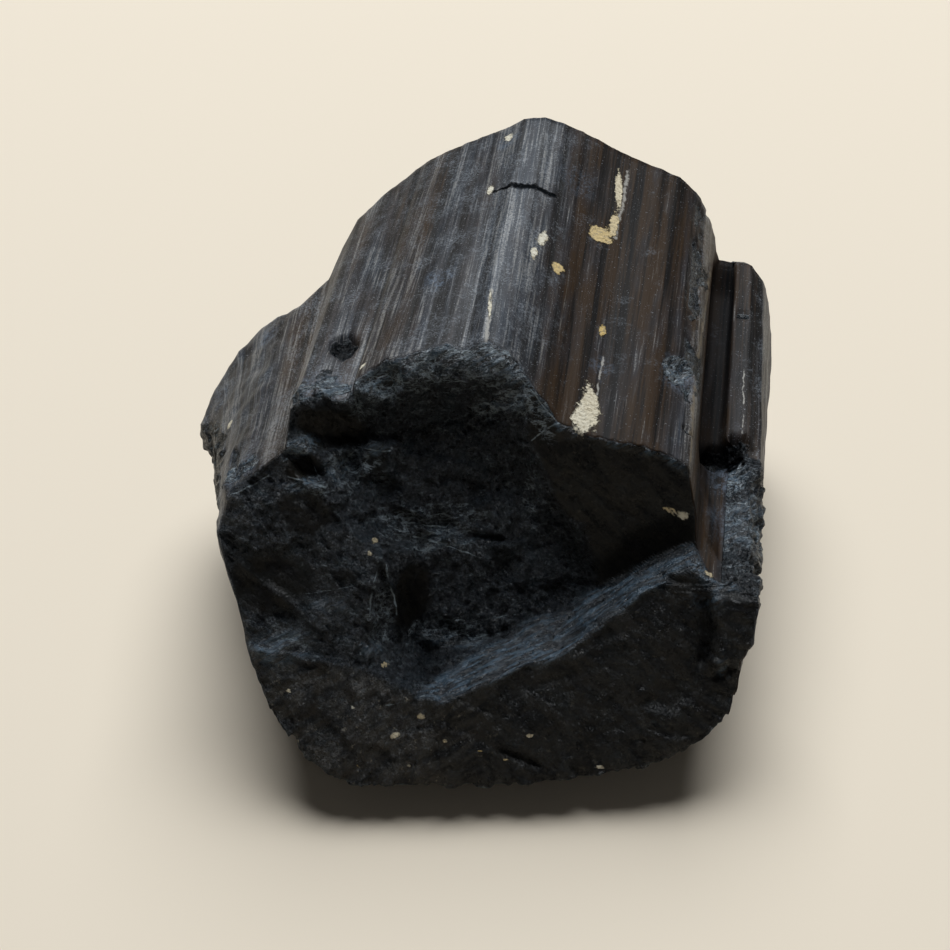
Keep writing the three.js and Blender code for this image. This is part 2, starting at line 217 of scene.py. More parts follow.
# Creases (positive depth) and crests (negative depth) in the front break:
# from across, up, to across, up, half width, depth.
FRONT_LINES = [
    (1.6, 6.6, 5.2, 5.0, 0.4, 0.6),
    (-3.5, 9.0, 2.0, 6.7, 0.6, 0.15),
    (-3.9, 10.6, -2.6, 4.2, 0.5, 0.3),
    (-7.5, 22.0, -8.3, 18.1, 0.5, -0.6),
    (-8.3, 18.1, -8.1, 14.8, 0.5, -0.6),
    (-7.5, 22.0, -6.3, 18.1, 0.45, -0.7),
    (-6.3, 18.1, -5.7, 15.0, 0.45, -0.6),
    (13.4, 20.2, 17.0, 19.4, 0.35, 0.3),
    (-7.0, 25.9, -3.4, 24.4, 0.4, -0.4),
    (-4.9, 23.9, -0.6, 22.3, 0.4, -0.4),
    (-3.6, 26.6, -1.0, 23.9, 0.35, -0.35),
    (-1.0, 23.9, 2.6, 23.1, 0.4, -0.35),
    (-13.9, 27.6, -12.6, 26.6, 0.4, -0.5),
    (-12.6, 26.6, -11.6, 27.2, 0.4, -0.5),
    (-17.6, 14.0, -13.8, 14.7, 0.5, -0.35),
    (-19.4, 21.6, -11.6, 15.4, 0.5, -0.3),
    (9.2, 27.0, 13.4, 24.0, 0.6, 0.2),
    (5.2, 12.6, 13.0, 15.6, 0.5, -0.15),
    (18.1, 13.8, 20.5, 11.4, 0.5, -0.4),
    (3.0, 11.0, 9.0, 12.5, 0.7, 0.2),
]

# Hair-thin painted highlights along crests of the front break: from across, up, to across, up, half width.
HAIRLINES = [
    (-7.1, 23.4, -2.3, 22.5, 0.10),
    (-8.8, 24.5, -2.3, 23.9, 0.07),
    (-2.3, 23.9, 0.0, 26.5, 0.07),
    (-3.7, 22.8, 0.5, 21.4, 0.06),
    (-7.7, 21.1, -8.4, 16.9, 0.08),
    (-7.1, 20.9, -6.0, 16.3, 0.09),
    (0.2, 16.0, 3.1, 16.9, 0.07),
    (4.5, 30.7, 6.6, 32.0, 0.10),
    (2.4, 37.0, 6.3, 32.3, 0.09),
    (-14.6, 27.8, -11.8, 26.9, 0.12),
    (-12.6, 28.5, -11.9, 27.1, 0.08),
    (-19.3, 26.4, -15.0, 28.5, 0.10),
    (-7.4, 9.8, -4.0, 10.7, 0.08),
    (-13.3, 18.6, -9.9, 19.1, 0.05),
    (-9.3, 30.0, -6.7, 29.9, 0.08),
]

# Broad stripes along the prism: place across it, how light, how bluish.
FACE_BANDS = np.array([
    (-23.0, 0.60, 0.7),
    (-20.5, 0.55, 1.0),
    (-18.3, 0.50, 0.5),
    (-16.8, 0.80, 0.0),
    (-15.0, 0.60, 0.4),
    (-12.0, 0.50, 0.7),
    (-9.6, 0.60, 0.4),
    (-7.5, 0.50, 0.3),
    (-5.0, 0.55, 0.8),
    (-3.3, 0.38, 0.4),
    (-1.4, 0.75, 1.0),
    (0.5, 0.50, 0.9),
    (2.0, 0.68, 0.8),
    (3.8, 0.38, 0.4),
    (5.6, 0.15, 0.15),
    (9.0, 0.20, 0.0),
    (13.5, 0.12, 0.0),
    (15.0, 0.25, 0.4),
    (15.7, 0.80, 0.05),
    (16.4, 0.15, 0.1),
    (18.2, 0.15, 0.15),
    (19.3, 0.30, 0.4),
    (20.4, 0.35, 0.1),
    (21.0, 0.55, 0.7),
])

# A curved dark slit across the ridge near the rear, a tan streak along the right edge of the
# roof, and pale streaks: from x, y, height, to x, y, height, half width.
SLIT = [
    (-3.3, 47.3, 27.2, -1.9, 47.2, 27.8, 0.3),
    (-1.9, 47.2, 27.8, 0.2, 47.3, 28.0, 0.5),
    (0.2, 47.3, 28.0, 2.0, 47.0, 27.3, 0.35),
]
TAN_STREAKS = [
    (15.2, 48.0, 19.7, 14.9, 38.6, 20.7, 0.32),
    (14.9, 38.6, 20.7, 14.7, 28.7, 21.3, 0.34),
    (14.7, 28.7, 21.3, 14.8, 21.9, 21.0, 0.34),
]
STREAKS = [
    (-2.1, 32.8, 28.1, -1.95, 28.8, 28.1, 0.20),
    (-2.0, 29.6, 28.1, -1.85, 25.6, 28.1, 0.24),
    (7.6, 54.0, 25.1, 7.4, 49.6, 24.9, 0.22),
    (7.4, 49.6, 24.9, 7.0, 45.2, 24.6, 0.28),
    (7.2, 30.8, 23.5, 7.0, 26.4, 23.2, 0.14),
    (18.5, 44.5, 17.3, 18.9, 30.4, 16.1, 0.08),
]

# Chips and pits in the flanks: centre x, y, height, half sizes along x, y, height, depth,
# and how dark the painted shade inside them is.
PITS = [
    # painted shade makes the next pit black inside
    (-13.6, 28.9, 24.4, 1.6, 2.1, 1.8, 1.2, 0.5),  # black pit on the upper left
    (13.5, 31.2, 22.2, 1.2, 2.4, 1.3, 0.6, 0.0),  # chips along the right edge of the roof
    (14.6, 28.4, 21.5, 0.5, 1.2, 0.8, 0.3, 0.0),
    (14.7, 25.0, 21.3, 0.4, 0.5, 0.7, 0.6, 0.3),
    # painted shade makes the next cavity dark inside
    (17.7, 29.3, 15.5, 2.7, 2.0, 2.2, 2.0, 1.0),  # dark cavity where the slim crystal is broken off
    (18.5, 45.2, 17.7, 0.6, 0.4, 0.8, 0.5, 0.5),
    (-14.0, 21.5, 25.0, 0.9, 0.8, 1.0, 0.5, 0.2),  # crumbled rim before the black pit
    (-16.1, 20.9, 24.9, 0.8, 0.8, 0.9, 0.45, 0.0),
    (-11.7, 22.2, 24.6, 0.8, 0.8, 0.8, 0.4, 0.0),
    (-16.2, 23.6, 23.4, 0.7, 1.4, 1.2, 0.25, 0.0),
    (-14.6, 25.2, 24.3, 1.2, 0.8, 0.9, 0.2, 0.0),
    (-20.6, 17.6, 19.9, 1.2, 1.0, 1.0, 0.4, 0.0),  # hackly rim of the left flank
    (-21.4, 19.6, 19.0, 0.9, 2.2, 1.0, 0.35, 0.0),
    (-19.4, 16.3, 20.6, 1.0, 0.6, 0.7, 0.3, 0.0),
    (-24.6, 26.5, 11.0, 2.0, 5.0, 3.0, 0.5, 0.0),
    (-17.5, 46.0, 14.0, 2.5, 4.0, 3.5, 0.6, 0.0),
]

# Spots of painted bluish sheen on the flanks, some also crumbled: centre x, y, height, half size, how
# strong the sheen, how crumbled.
SHEEN_SPOTS = [
    (-14.6, 22.6, 24.8, 2.8, 0.7, 1.0),
    (-20.8, 18.0, 19.6, 2.4, 0.6, 0.9),
    (13.8, 30.8, 22.0, 2.6, 0.8, 1.0),
    (17.9, 27.4, 14.6, 1.9, 1.0, 0.0),
    (19.6, 22.3, 14.2, 3.8, 0.6, 0.0),
    (-21.6, 37.8, 17.6, 1.6, 1.0, 0.0),
    (-6.8, 35.0, 27.0, 1.4, 0.9, 0.0),
    (-24.6, 33.5, 14.0, 2.0, 0.5, 0.0),
    (-2.7, 55.0, 27.2, 1.3, 0.9, 0.0),
    (7.0, 29.2, 23.5, 1.2, 0.5, 0.0),
    (3.6, 50.5, 26.8, 2.2, 0.35, 0.0),
]


# ------------------------------------------------------------------ small helpers


def smooth(value, low, high):
    """0 below low, 1 above high, and a smooth S between them."""
    t = np.clip((value - low) / (high - low), 0, 1)
    return t * t * (3 - 2 * t)


def within(value, low, high, edge):
    """1 between low and high and 0 outside, with soft edges."""
    return smooth(value, low - edge, low + edge) * (1 - smooth(value, high - edge, high + edge))


def along(line, place):
    """Height of a broken line over each place along it."""
    points = np.array(line, float)
    return np.interp(place, points[:, 0], points[:, 1])


def soft_max(ease, *heights):
    """The largest height: the logarithm of the sum of the exponentials, so corners ease."""
    stack = np.stack(np.broadcast_arrays(*heights))
    return ease * np.logaddexp.reduce(stack / ease, axis=0)


def soft_min(ease, *heights):
    """The smallest height, with eased corners."""
    return -soft_max(ease, *[-np.asarray(height) for height in heights])


def from_middle(across, up, spot, turn=0):
    """A place as seen from a spot's middle, along the spot's turned sides and in its half
    sizes. The spot is its middle across and up, half width and half height."""
    middle_a, middle_u, wide, high = spot
    angle = math.radians(turn)
    a = ((across - middle_a) * math.cos(angle) + (up - middle_u) * math.sin(angle)) / wide
    u = ((up - middle_u) * math.cos(angle) - (across - middle_a) * math.sin(angle)) / high
    return a, u


def level(across, up, height=0.0):
    """Places across and up, with one height for them all, as points."""
    return np.stack([across, up, np.full_like(across, height)], -1)


def hashed(cell, seed):
    """A fixed pseudo-random value from 0 to 1 for each whole-number cell: the cell's numbers
    times large primes, mixed by exclusive-or and cut to their low bits."""
    mixed = cell[..., 0] * 73856093 ^ cell[..., 1] * 19349663 ^ cell[..., 2] * 83492791
    mixed = (mixed ^ (seed * 668265263)) & 0x7FFFFFFF
    mixed = ((mixed ^ (mixed >> 13)) * 1274126177) & 0x7FFFFFFF
    mixed = ((mixed ^ (mixed >> 16)) * 668265263) & 0x7FFFFFFF
    return ((mixed ^ (mixed >> 15)) & 0xFFFF) / 65535


def noise(points, size, seed):
    """Smooth noise from -1 to 1: hashed values at lattice corners size apart, blended by
    the product of three smooth steps."""
    scaled = points / size
    cell = np.floor(scaled).astype(np.int64)
    t = scaled - cell
    t = t * t * (3 - 2 * t)
    total = np.zeros(points.shape[:-1])
    for corner in np.ndindex(2, 2, 2):
        weight = np.prod(np.where(corner, t, 1 - t), axis=-1)
        total += weight * hashed(cell + np.array(corner), seed)
    return 2 * total - 1


def fractal(points, size, seed, octaves=3):
    """Sum of noises, each half as large and half as high as the one before, scaled so that
    three of them keep within -1 to 1."""
    return sum(noise(points, size / 2**k, seed + k) / 2**k for k in range(octaves)) / 1.75


def ridged(points, size, seed):
    """Rounded ribs with sharp grooves between them: 1 minus twice the size of a noise."""
    return 1 - 2 * np.abs(noise(points, size, seed))


def shards(points, size, seed, tilt=0.5):
    """Broken facets. Scattered centres, one for each lattice cell, part space into cells. In
    each cell the height is the cell's own level plus its own slope times the way from the
    centre. About -1 to 1."""
    scaled = points / size
    home = np.floor(scaled).astype(np.int64)
    nearest = np.full(points.shape[:-1], 9.0)
    height = np.zeros(points.shape[:-1])
    for step in np.ndindex(3, 3, 3):
        cell = home + np.array(step) - 1
        centre = cell + np.stack([hashed(cell, seed + k) for k in (1, 2, 3)], -1)
        way = scaled - centre
        far = (way**2).sum(-1)
        slope = np.stack([hashed(cell, seed + k) for k in (4, 5, 6)], -1) - 0.5
        level = hashed(cell, seed + 7) - 0.5
        closer = far < nearest
        nearest = np.where(closer, far, nearest)
        height = np.where(closer, level + 2 * tilt * (slope * way).sum(-1) * 2, height)
    return height


def dented(across, up, dents, wobble):
    """Depth of the dents at each place: a flat-bottomed bowl with five flat sides, turned, and
    shaken by the wobble. The radius is the largest distance along the sides' directions."""
    depth = np.zeros_like(across)
    for *spot, turn, deep in dents:
        a, u = from_middle(across, up, spot, turn)
        radius = np.maximum.reduce([a * side_a + u * side_u for side_a, side_u in DENT_SIDES])
        depth += deep * np.clip(1.7 * (1.05 - radius - 0.12 * wobble), 0, 1)
    return depth


def lined(across, up, lines, wobble):
    """Depth of creases and crests: a V whose middle is the line from one end to the other."""
    depth = np.zeros_like(across)
    for a0, u0, a1, u1, wide, deep in lines:
        run, rise = a1 - a0, u1 - u0
        share = ((across - a0) * run + (up - u0) * rise) / (run**2 + rise**2)
        share = np.clip(share, 0, 1)
        away = np.hypot(across - a0 - share * run, up - u0 - share * rise)
        fade = np.minimum(1, 4 * np.minimum(share + 0.05, 1.05 - share))
        depth += deep * fade * np.clip(1 - (away + 0.15 * wobble) / wide, 0, 1)
    return depth


# ------------------------------------------------------------------ the two broken ends


def front_break(across, up):
    """How far the front break stands out of its mean plane: the higher of the hollow and the
    shelf. The hollow is the highest of its floor, roof, right facet and left wall, cut off by
    the left face. Under the crown the roof starts level and steepens, which leaves a narrow
    brow. The shelf falls away above its head line. A knob is added on the right, and a V
    crease cut before it."""
    below_rim = along(UPPER_RIM, across) - up
    brow = BROW_WIDTH * within(across, -8.5, 5, 1.2)
    roof = -ROOF_SLOPE * below_rim**2 / (np.abs(below_rim) + brow + 0.01)
    left_of_facet = np.maximum(0, along(FACET_LEFT, up) - across)
    facet = -FACET_SLOPE * below_rim - FACET_EDGE_SLOPE * left_of_facet
    wall = -0.2 - WALL_SLOPE * (across - along(HOLLOW_LEFT, up))
    block = BLOCK_RISE * within(across, -9, -5.9, 0.4) * within(up, 27.6, 30.3, 0.4)
    hollow = soft_max(FRONT_EASE, HOLLOW_FLOOR, roof, facet, wall) + block
    left_face = 0.25 + 0.02 * (across + 16)
    upper = soft_min(FRONT_EASE, left_face, hollow)
    lower_left = 0.75 + 0.05 * (13.5 - up) + 0.03 * (across + 14)
    lower_right = 0.85 - 0.03 * (across - 3) + 0.01 * (up - 10)
    lower = soft_min(FRONT_EASE, lower_left, lower_right)
    shelf = lower - SHELF_SLOPE * np.maximum(0, up - along(SHELF_HEAD, across))
    crease = np.clip(1 - np.abs(across - KNOB_LEFT) / CREASE_HALF_WIDTH, 0, 1) * within(up, 13, 18.5, 0.6)
    knob = smooth(across, KNOB_LEFT, KNOB_LEFT + 1.1) * within(up, 12.5, 18.4, 0.7)
    return soft_max(FRONT_EASE, upper, shelf) - CREASE_DEPTH * crease + KNOB_RISE * knob


def front_grain(across, up):
    """How coarse the front break is, from 0 to 1: 1 in the hollow and on the left face, less
    a share of the masks of the right facet and of the lower faces, and then scaled down on
    the smooth spots."""
    foot, head = along(SHELF_FOOT, across), along(SHELF_HEAD, across)
    facet = smooth(across - along(FACET_LEFT, up), -0.3, 0.6) * smooth(up, foot - 0.2, foot + 0.4)
    lower = (1 - smooth(up, head - 0.8, head)) * smooth(across, -5, -2)
    lower_left = (1 - smooth(up, head - 0.8, head)) * (1 - smooth(across, -5, -2))
    grain = 1 - 0.72 * facet - 0.55 * lower - 0.3 * lower_left
    for *spot, less in SMOOTH_SPOTS:
        away = np.hypot(*from_middle(across, up, spot))
        grain = grain * (1 - less * (1 - smooth(away, 0.7, 1.1)))
    return np.clip(grain, 0.12, 1)


def crest_highlight_web(across, up):
    """How thickly painted crest highlights cover the front break, from 0 to 1: a share of the
    grain, plus more round each crest spot and in a band of painted light under the crown's rim."""
    highlight_web = 0.25 * front_grain(across, up)
    for *spot, more in CREST_SPOTS:
        away = np.hypot(*from_middle(across, up, spot))
        highlight_web = highlight_web + more * (1 - smooth(away, 0.3, 1.2))
    below_rim = along(UPPER_RIM, across) - up
    highlight_web = highlight_web + 0.9 * (1 - smooth(below_rim, 0.8, 3.5)) * within(across, -10, 6, 1)
    return np.clip(highlight_web, 0, 1)


def shelf_and_painted_light(across, up):
    """1 on the bluish fibrous shelf between its foot and its head, partly painted light where it
    faces up, and less as painted light on the brow under the crown, in a narrow band under the
    facet's rim and on the painted light spots."""
    foot, head = along(SHELF_FOOT, across), along(SHELF_HEAD, across)
    below_rim = along(UPPER_RIM, across) - up
    # painted light on the brow under the crown and under the facet's rim
    brow = 0.75 * (1 - smooth(below_rim, 0.2, 2.2)) * within(across, -9, 4.5, 1)
    brow = np.maximum(brow, 0.6 * (1 - smooth(below_rim, 0.2, 0.8)) * within(across, 4, 16.4, 0.6))
    lit = np.maximum(brow, within(up, head - 0.25, foot + 0.15, 0.3) * smooth(across, -5, -3.5))
    for *spot, strong in PAINTED_LIGHT_SPOTS:
        away = np.hypot(*from_middle(across, up, spot))
        lit = np.maximum(lit, strong * (1 - smooth(away, 0.5, 1.15)))
    return lit


def shade_spots(across, up):
    """How dark the painted shade of the shade spots makes a place on the front break: 1 minus a
    smooth step of its distance from the spot's middle in half sizes."""
    painted_dark = np.zeros_like(across)
    for *spot, turn, strong in SHADE_SPOTS:
        away = np.hypot(*from_middle(across, up, spot, turn))
        painted_dark = np.maximum(painted_dark, strong * (1 - smooth(away, 0.6, 1.1)))
    return painted_dark


def shaken(across, up):
    """A place on the front break moved a little by two noises, which makes edges ragged."""
    flat = level(across, up)
    return across + 0.8 * fractal(flat, 3.6, 171, 5), up + 0.8 * fractal(flat, 3.6, 177, 5)


def front_dust_and_light(across, up):
    """How dusty the front break is, most at the lower left and some on the lower right face, plus
    painted light on the upper part of the right facet, which leaves its foot darker."""
    foot, head = along(SHELF_FOOT, across), along(SHELF_HEAD, across)
    facet = smooth(across - along(FACET_LEFT, up), -0.3, 0.6) * smooth(up - foot, 2.5, 7)
    lower = (1 - smooth(up, head - 0.6, head)) * (0.25 + 0.75 * (1 - smooth(across, -6, 3)))
    return lower + 0.22 * facet


def front_relief(across, up):
    """The front break's finer shape: shards of three sizes scaled by the grain, ribs along
    the shelf, the dents and lines, and the change that ragged edges make."""
    flat = level(across, up)
    bent = flat + 0.5 * level(noise(flat, 2.2, 5), noise(flat, 2.2, 6))
    near = shaken(across, up)
    grain = front_grain(*near)
    coarse = 0.3 * shards(bent, 3.4, 11) + 0.22 * shards(bent, 1.5, 21) + 0.13 * shards(bent, 0.75, 31)
    coarse += 0.35 * fractal(flat, 4.0, 41, 4)
    shelf = shelf_and_painted_light(*near)
    slanted = level(across * 0.87 + up * 0.5, (up * 0.87 - across * 0.5) * 7)
    ribs = 0.16 * noise(slanted, 4.2, 51) + 0.1 * noise(slanted, 2.0, 52)
    wobble = noise(flat, 0.9, 61)
    depth = dented(across, up, FRONT_DENTS, wobble) + lined(across, up, FRONT_LINES, wobble)
    ragged = front_break(*near) - front_break(across, up)
    return coarse * grain * (1 - 0.85 * shelf) + ribs * shelf - depth + ragged


def on_front_break(across, up, relief):
    """A place on the front break in the stone's frame: up its slope, out along its normal,
    then turned about the vertical."""
    out = front_break(across, up) + relief
    back = up * math.sin(LEAN) - out * math.cos(LEAN)
    height = up * math.cos(LEAN) + out * math.sin(LEAN)
    x = across * math.cos(TURN) - back * math.sin(TURN)
    y = across * math.sin(TURN) + back * math.cos(TURN)
    return np.stack([x, y, height], -1)


def rear_break(x, height):
    """How far back the rear break lies: the lowest of a main face, a face falling to the
    right, and the steep wall down to the left crystal's broken end."""
    main = 56.4 - 0.13 * (26 - height)
    right = 57.4 - 0.3 * (x - 1) - 0.05 * (26 - height)
    left = soft_max(REAR_EASE, 40 + 1.9 * (x + 18.5), 38 + 0.5 * (x + 22))
    return soft_min(REAR_EASE, main, right, left)


def rear_relief(x, height):
    """The rear break's finer shape: shards of four sizes over a slow swell."""
    flat = level(x, height, 7.0)
    bent = flat + 0.7 * level(noise(flat, 3, 71), noise(flat, 3, 72))
    coarse = 0.8 * shards(bent, 6.0, 81) + 0.4 * shards(bent, 2.8, 83) + 0.2 * shards(bent, 1.3, 85)
    return 0.75 * coarse + 0.1 * shards(bent, 0.7, 87) + 0.4 * fractal(flat, 6.0, 89)


# ------------------------------------------------------------------ the closed surface


def make_columns(count):
    """The outline resampled to count columns, with every corner on a column of its own."""
    corners = np.vstack([OUTLINE, OUTLINE[:1]])
    step = np.diff(corners, axis=0)
    length = np.hypot(step[:, 0], step[:, 1]) + np.hypot(step[:, 2], step[:, 3])
    covered = np.concatenate([[0], np.cumsum(length)]) / length.sum()
    at = np.arange(len(corners)) + np.round((count - len(OUTLINE)) * covered)
    place = np.arange(count)
    return np.stack([np.interp(place, at, corners[:, k]) for k in range(corners.shape[1])], -1)


def ring_and_column(cells):
    """For each point of a square grid: its ring (0 in the middle, 1 at the rim) and the
    column that the ray from the middle through it meets, going once round the square."""
    t = np.linspace(-1, 1, cells + 1)
    a, b = np.meshgrid(t, t, indexing="ij")
    ring = np.maximum(np.abs(a), np.abs(b))
    p, q = a / np.maximum(ring, TINY), b / np.maximum(ring, TINY)
    bottom, right, top = q <= -1 + TINY, p >= 1 - TINY, q >= 1 - TINY
    half = cells / 2
    sides = [(1 + p) * half, cells + (1 + q) * half, 2 * cells + (1 - p) * half]
    return ring, np.select([bottom, right, top], sides, 3 * cells + (1 - q) * half)


def at_column(values, column):
    """Values of the columns read at places that may lie between two columns."""
    low = np.floor(column + TINY).astype(int)
    t = np.clip(column - low, 0, 1)[..., None]
    return values[low % len(values)] * (1 - t) + values[(low + 1) % len(values)] * t


def flank(columns, shares, nibble):
    """The prism's faces: a straight line from the front rim to the rear rim in every column.
    The line starts a nibble further back where the rim is chipped, sags to the table under
    the belly, and sinks by the groove and the chip along the section's outward normal."""
    shares = nibble + (1 - nibble) * shares[:, None]
    front = on_front_break(columns[:, 0], columns[:, 1], 0)
    rear = columns[:, [2, 4, 3]]
    points = front + shares[..., None] * (rear - front)
    belly = 1 - smooth(front[:, 2], 3, 8)
    fallen = 1 - (1 - shares) ** BELLY_DROP
    points[..., 2] = front[:, 2] + (rear[:, 2] - front[:, 2]) * (shares + belly * (fallen - shares))
    turn = np.roll(columns[:, 2:4], -3, 0) - np.roll(columns[:, 2:4], 3, 0)
    turn /= np.linalg.norm(turn, axis=1, keepdims=True)
    sunk = columns[:, 5] * within(shares, GROOVE_START, GROOVE_END, 0.05)
    sunk = sunk + columns[:, 6] * within(shares, CHIP_START, BLADE_FRONT - 0.02, 0.012)
    points[..., 0] += turn[:, 1] * sunk
    points[..., 2] -= turn[:, 0] * sunk
    return points, shares


def normals_of(points, quads):
    """Unit normals at the points: the sum of the normals of the quads round each of them,
    each the cross product of the quad's diagonals."""
    corner = points[quads]
    face = np.cross(corner[:, 2] - corner[:, 0], corner[:, 3] - corner[:, 1])
    total = np.zeros_like(points)
    for k in range(4):
        np.add.at(total, quads[:, k], face)
    return total / np.maximum(np.linalg.norm(total, axis=1, keepdims=True), 1e-12)


def chipped_rim(columns, section):
    """How far behind the front rim the prism's faces start in each column, as a share of the
    way to the rear rim: the part of a noise above a level, and more under the crown."""
    loop = level(*section.T)
    chipped = np.clip(noise(loop, 1.3, 91) + 0.5 * noise(loop, 0.5, 92) - 0.25, 0, 1)
    crown = within(columns[:, 0], -9.5, 4.4, 1) * smooth(columns[:, 1], 30, 33)
    return 0.035 * chipped + 0.006 * (1 + noise(loop, 0.4, 93)) + 0.03 * crown


def front_end(columns, side, ring, column):
    """The front break over the square grid: the outline pulled in towards the centre by the
    ring number, on the break's surface, with its rim set back to where the faces start."""
    rim = at_column(columns[:, 0:2], column)
    flat = FRONT_CENTRE + ring[..., None] * (rim - FRONT_CENTRE)
    relief = front_relief(flat[..., 0], flat[..., 1]) * np.clip((1 - ring) * RIM_FADE, 0, 1)
    front = on_front_break(flat[..., 0], flat[..., 1], relief)
    set_back = side[0] - on_front_break(columns[:, 0], columns[:, 1], 0)
    return front + (ring**RIM_BLEND)[..., None] * at_column(set_back, column)


def rear_end(columns, ring, column):
    """The rear break over the square grid: the rear outline pulled in towards its centre by
    the ring number, and moved along the prism so that its rim meets the faces."""
    rim = at_column(columns[:, 2:5], column)
    flat = REAR_CENTRE + ring[..., None] * (rim[..., :2] - REAR_CENTRE)
    y = rear_break(flat[..., 0], flat[..., 1])
    y += ring**3 * (rim[..., 2] - rear_break(rim[..., 0], rim[..., 1]))
    y += rear_relief(flat[..., 0], flat[..., 1]) * np.clip((1 - ring) * RIM_FADE, 0, 1)
    return np.stack([flat[..., 0], y, flat[..., 1]], -1)


def joined(side, front, rear, ring, column):
    """The flank and both ends as the points and quads of one closed surface. The flank is a
    grid of rows and columns closed round the prism, and each end is a square grid whose rim
    is the flank's first or last row."""
    rows, count = side.shape[:2]
    on_rim = ring > 1 - TINY
    rim_column = np.round(column).astype(int) % count
    inside = np.count_nonzero(~on_rim)
    front_index = rim_column.copy()
    front_index[~on_rim] = rows * count + np.arange(inside)
    rear_index = rim_column + (rows - 1) * count
    rear_index[~on_rim] = rows * count + inside + np.arange(inside)

    row, place = np.meshgrid(np.arange(rows - 1), np.arange(count), indexing="ij")
    here, beside = row * count + place, row * count + (place + 1) % count
    walls = np.stack([here, beside, beside + count, here + count], -1).reshape(-1, 4)
    first, last = (
        np.stack([index[:-1, :-1], index[1:, :-1], index[1:, 1:], index[:-1, 1:]], -1).reshape(-1, 4)
        for index in (front_index, rear_index)
    )
    points = np.vstack([side.reshape(-1, 3), front[~on_rim], rear[~on_rim]])
    return points, np.vstack([walls, first[:, ::-1], last])


def rib_height(lengthwise):
    """Height of the ribs on the prism's faces: rounded ribs of three widths on a slow swell."""
    ribs = 0.05 * ridged(lengthwise, 1.7, 101) + 0.03 * ridged(lengthwise, 0.8, 102)
    return ribs + (0.02 * ridged(lengthwise, 0.42, 103) + 0.08 * noise(lengthwise, 3.0, 104))


def pitted(points, moved):
    """The chips and pits in the flanks: how deep, how broken and how dark with painted shade each
    point is. A pit is 1 minus a smooth step of the distance from its middle in half sizes."""
    uneven = 0.75 + 0.5 * shards(points, 0.8, 121)
    depth, broken, painted_shade = np.zeros((3, len(points)))
    for x, y, z, wide, long, high, deep, painted_dark in PITS:
        away = np.linalg.norm((moved - [x, y, z]) / [wide, long, high], axis=1)
        pit = 1 - smooth(away, 0.55, 1.0)
        depth += deep * pit * uneven
        broken = np.maximum(broken, pit)
        painted_shade = np.maximum(painted_shade, painted_dark * smooth(pit, 0.4, 0.9))
    return depth, broken, painted_shade


def sheen_spots(points, moved):
    """The painted bluish sheen on the flanks: how strong it is and how crumbled each point is."""
    bluish_sheen, loose = np.zeros((2, len(points)))
    for x, y, z, size, strong, crumbling in SHEEN_SPOTS:
        near = 1 - smooth(np.linalg.norm(moved - [x, y, z], axis=1) / size, 0.5, 1.1)
        bluish_sheen = np.maximum(bluish_sheen, strong * near)
        loose = np.maximum(loose, crumbling * near)
    return bluish_sheen, smooth(loose, 0.3, 0.6) * smooth(fractal(points, 1.2, 165), -0.1, 0.05)


def flank_breaks(points, moved):
    """Where the flanks are broken off, each from 0 to 1: the slim crystal's front on the
    right, the left crystal's front, the roof's right edge, and the unseen underside."""
    x, y, z = points.T
    right = within(y, 13.5, 28.8, 1.0) * smooth(x, 17.6, 18.2) * smooth(z, 8, 10)
    top = 16.7 - 0.6 * np.maximum(0, moved[:, 1] - 25.4)
    left = smooth(-moved[:, 0], 21.6, 22.2) * within(moved[:, 1], 14.5, 32, 0.8)
    left = left * (1 - smooth(moved[:, 2] - top, -0.4, 0.4))
    edge = within(x, 13.7, 15.4, 0.4) * smooth(y, 28, 33) * smooth(z, 19.5, 20.5)
    edge = edge * smooth(fractal(points, 2.6, 161), -0.05, 0.12)
    under = 1 - smooth(z + 0.5 * noise(points, 3, 131), 5, 9)
    return right, left, edge, under


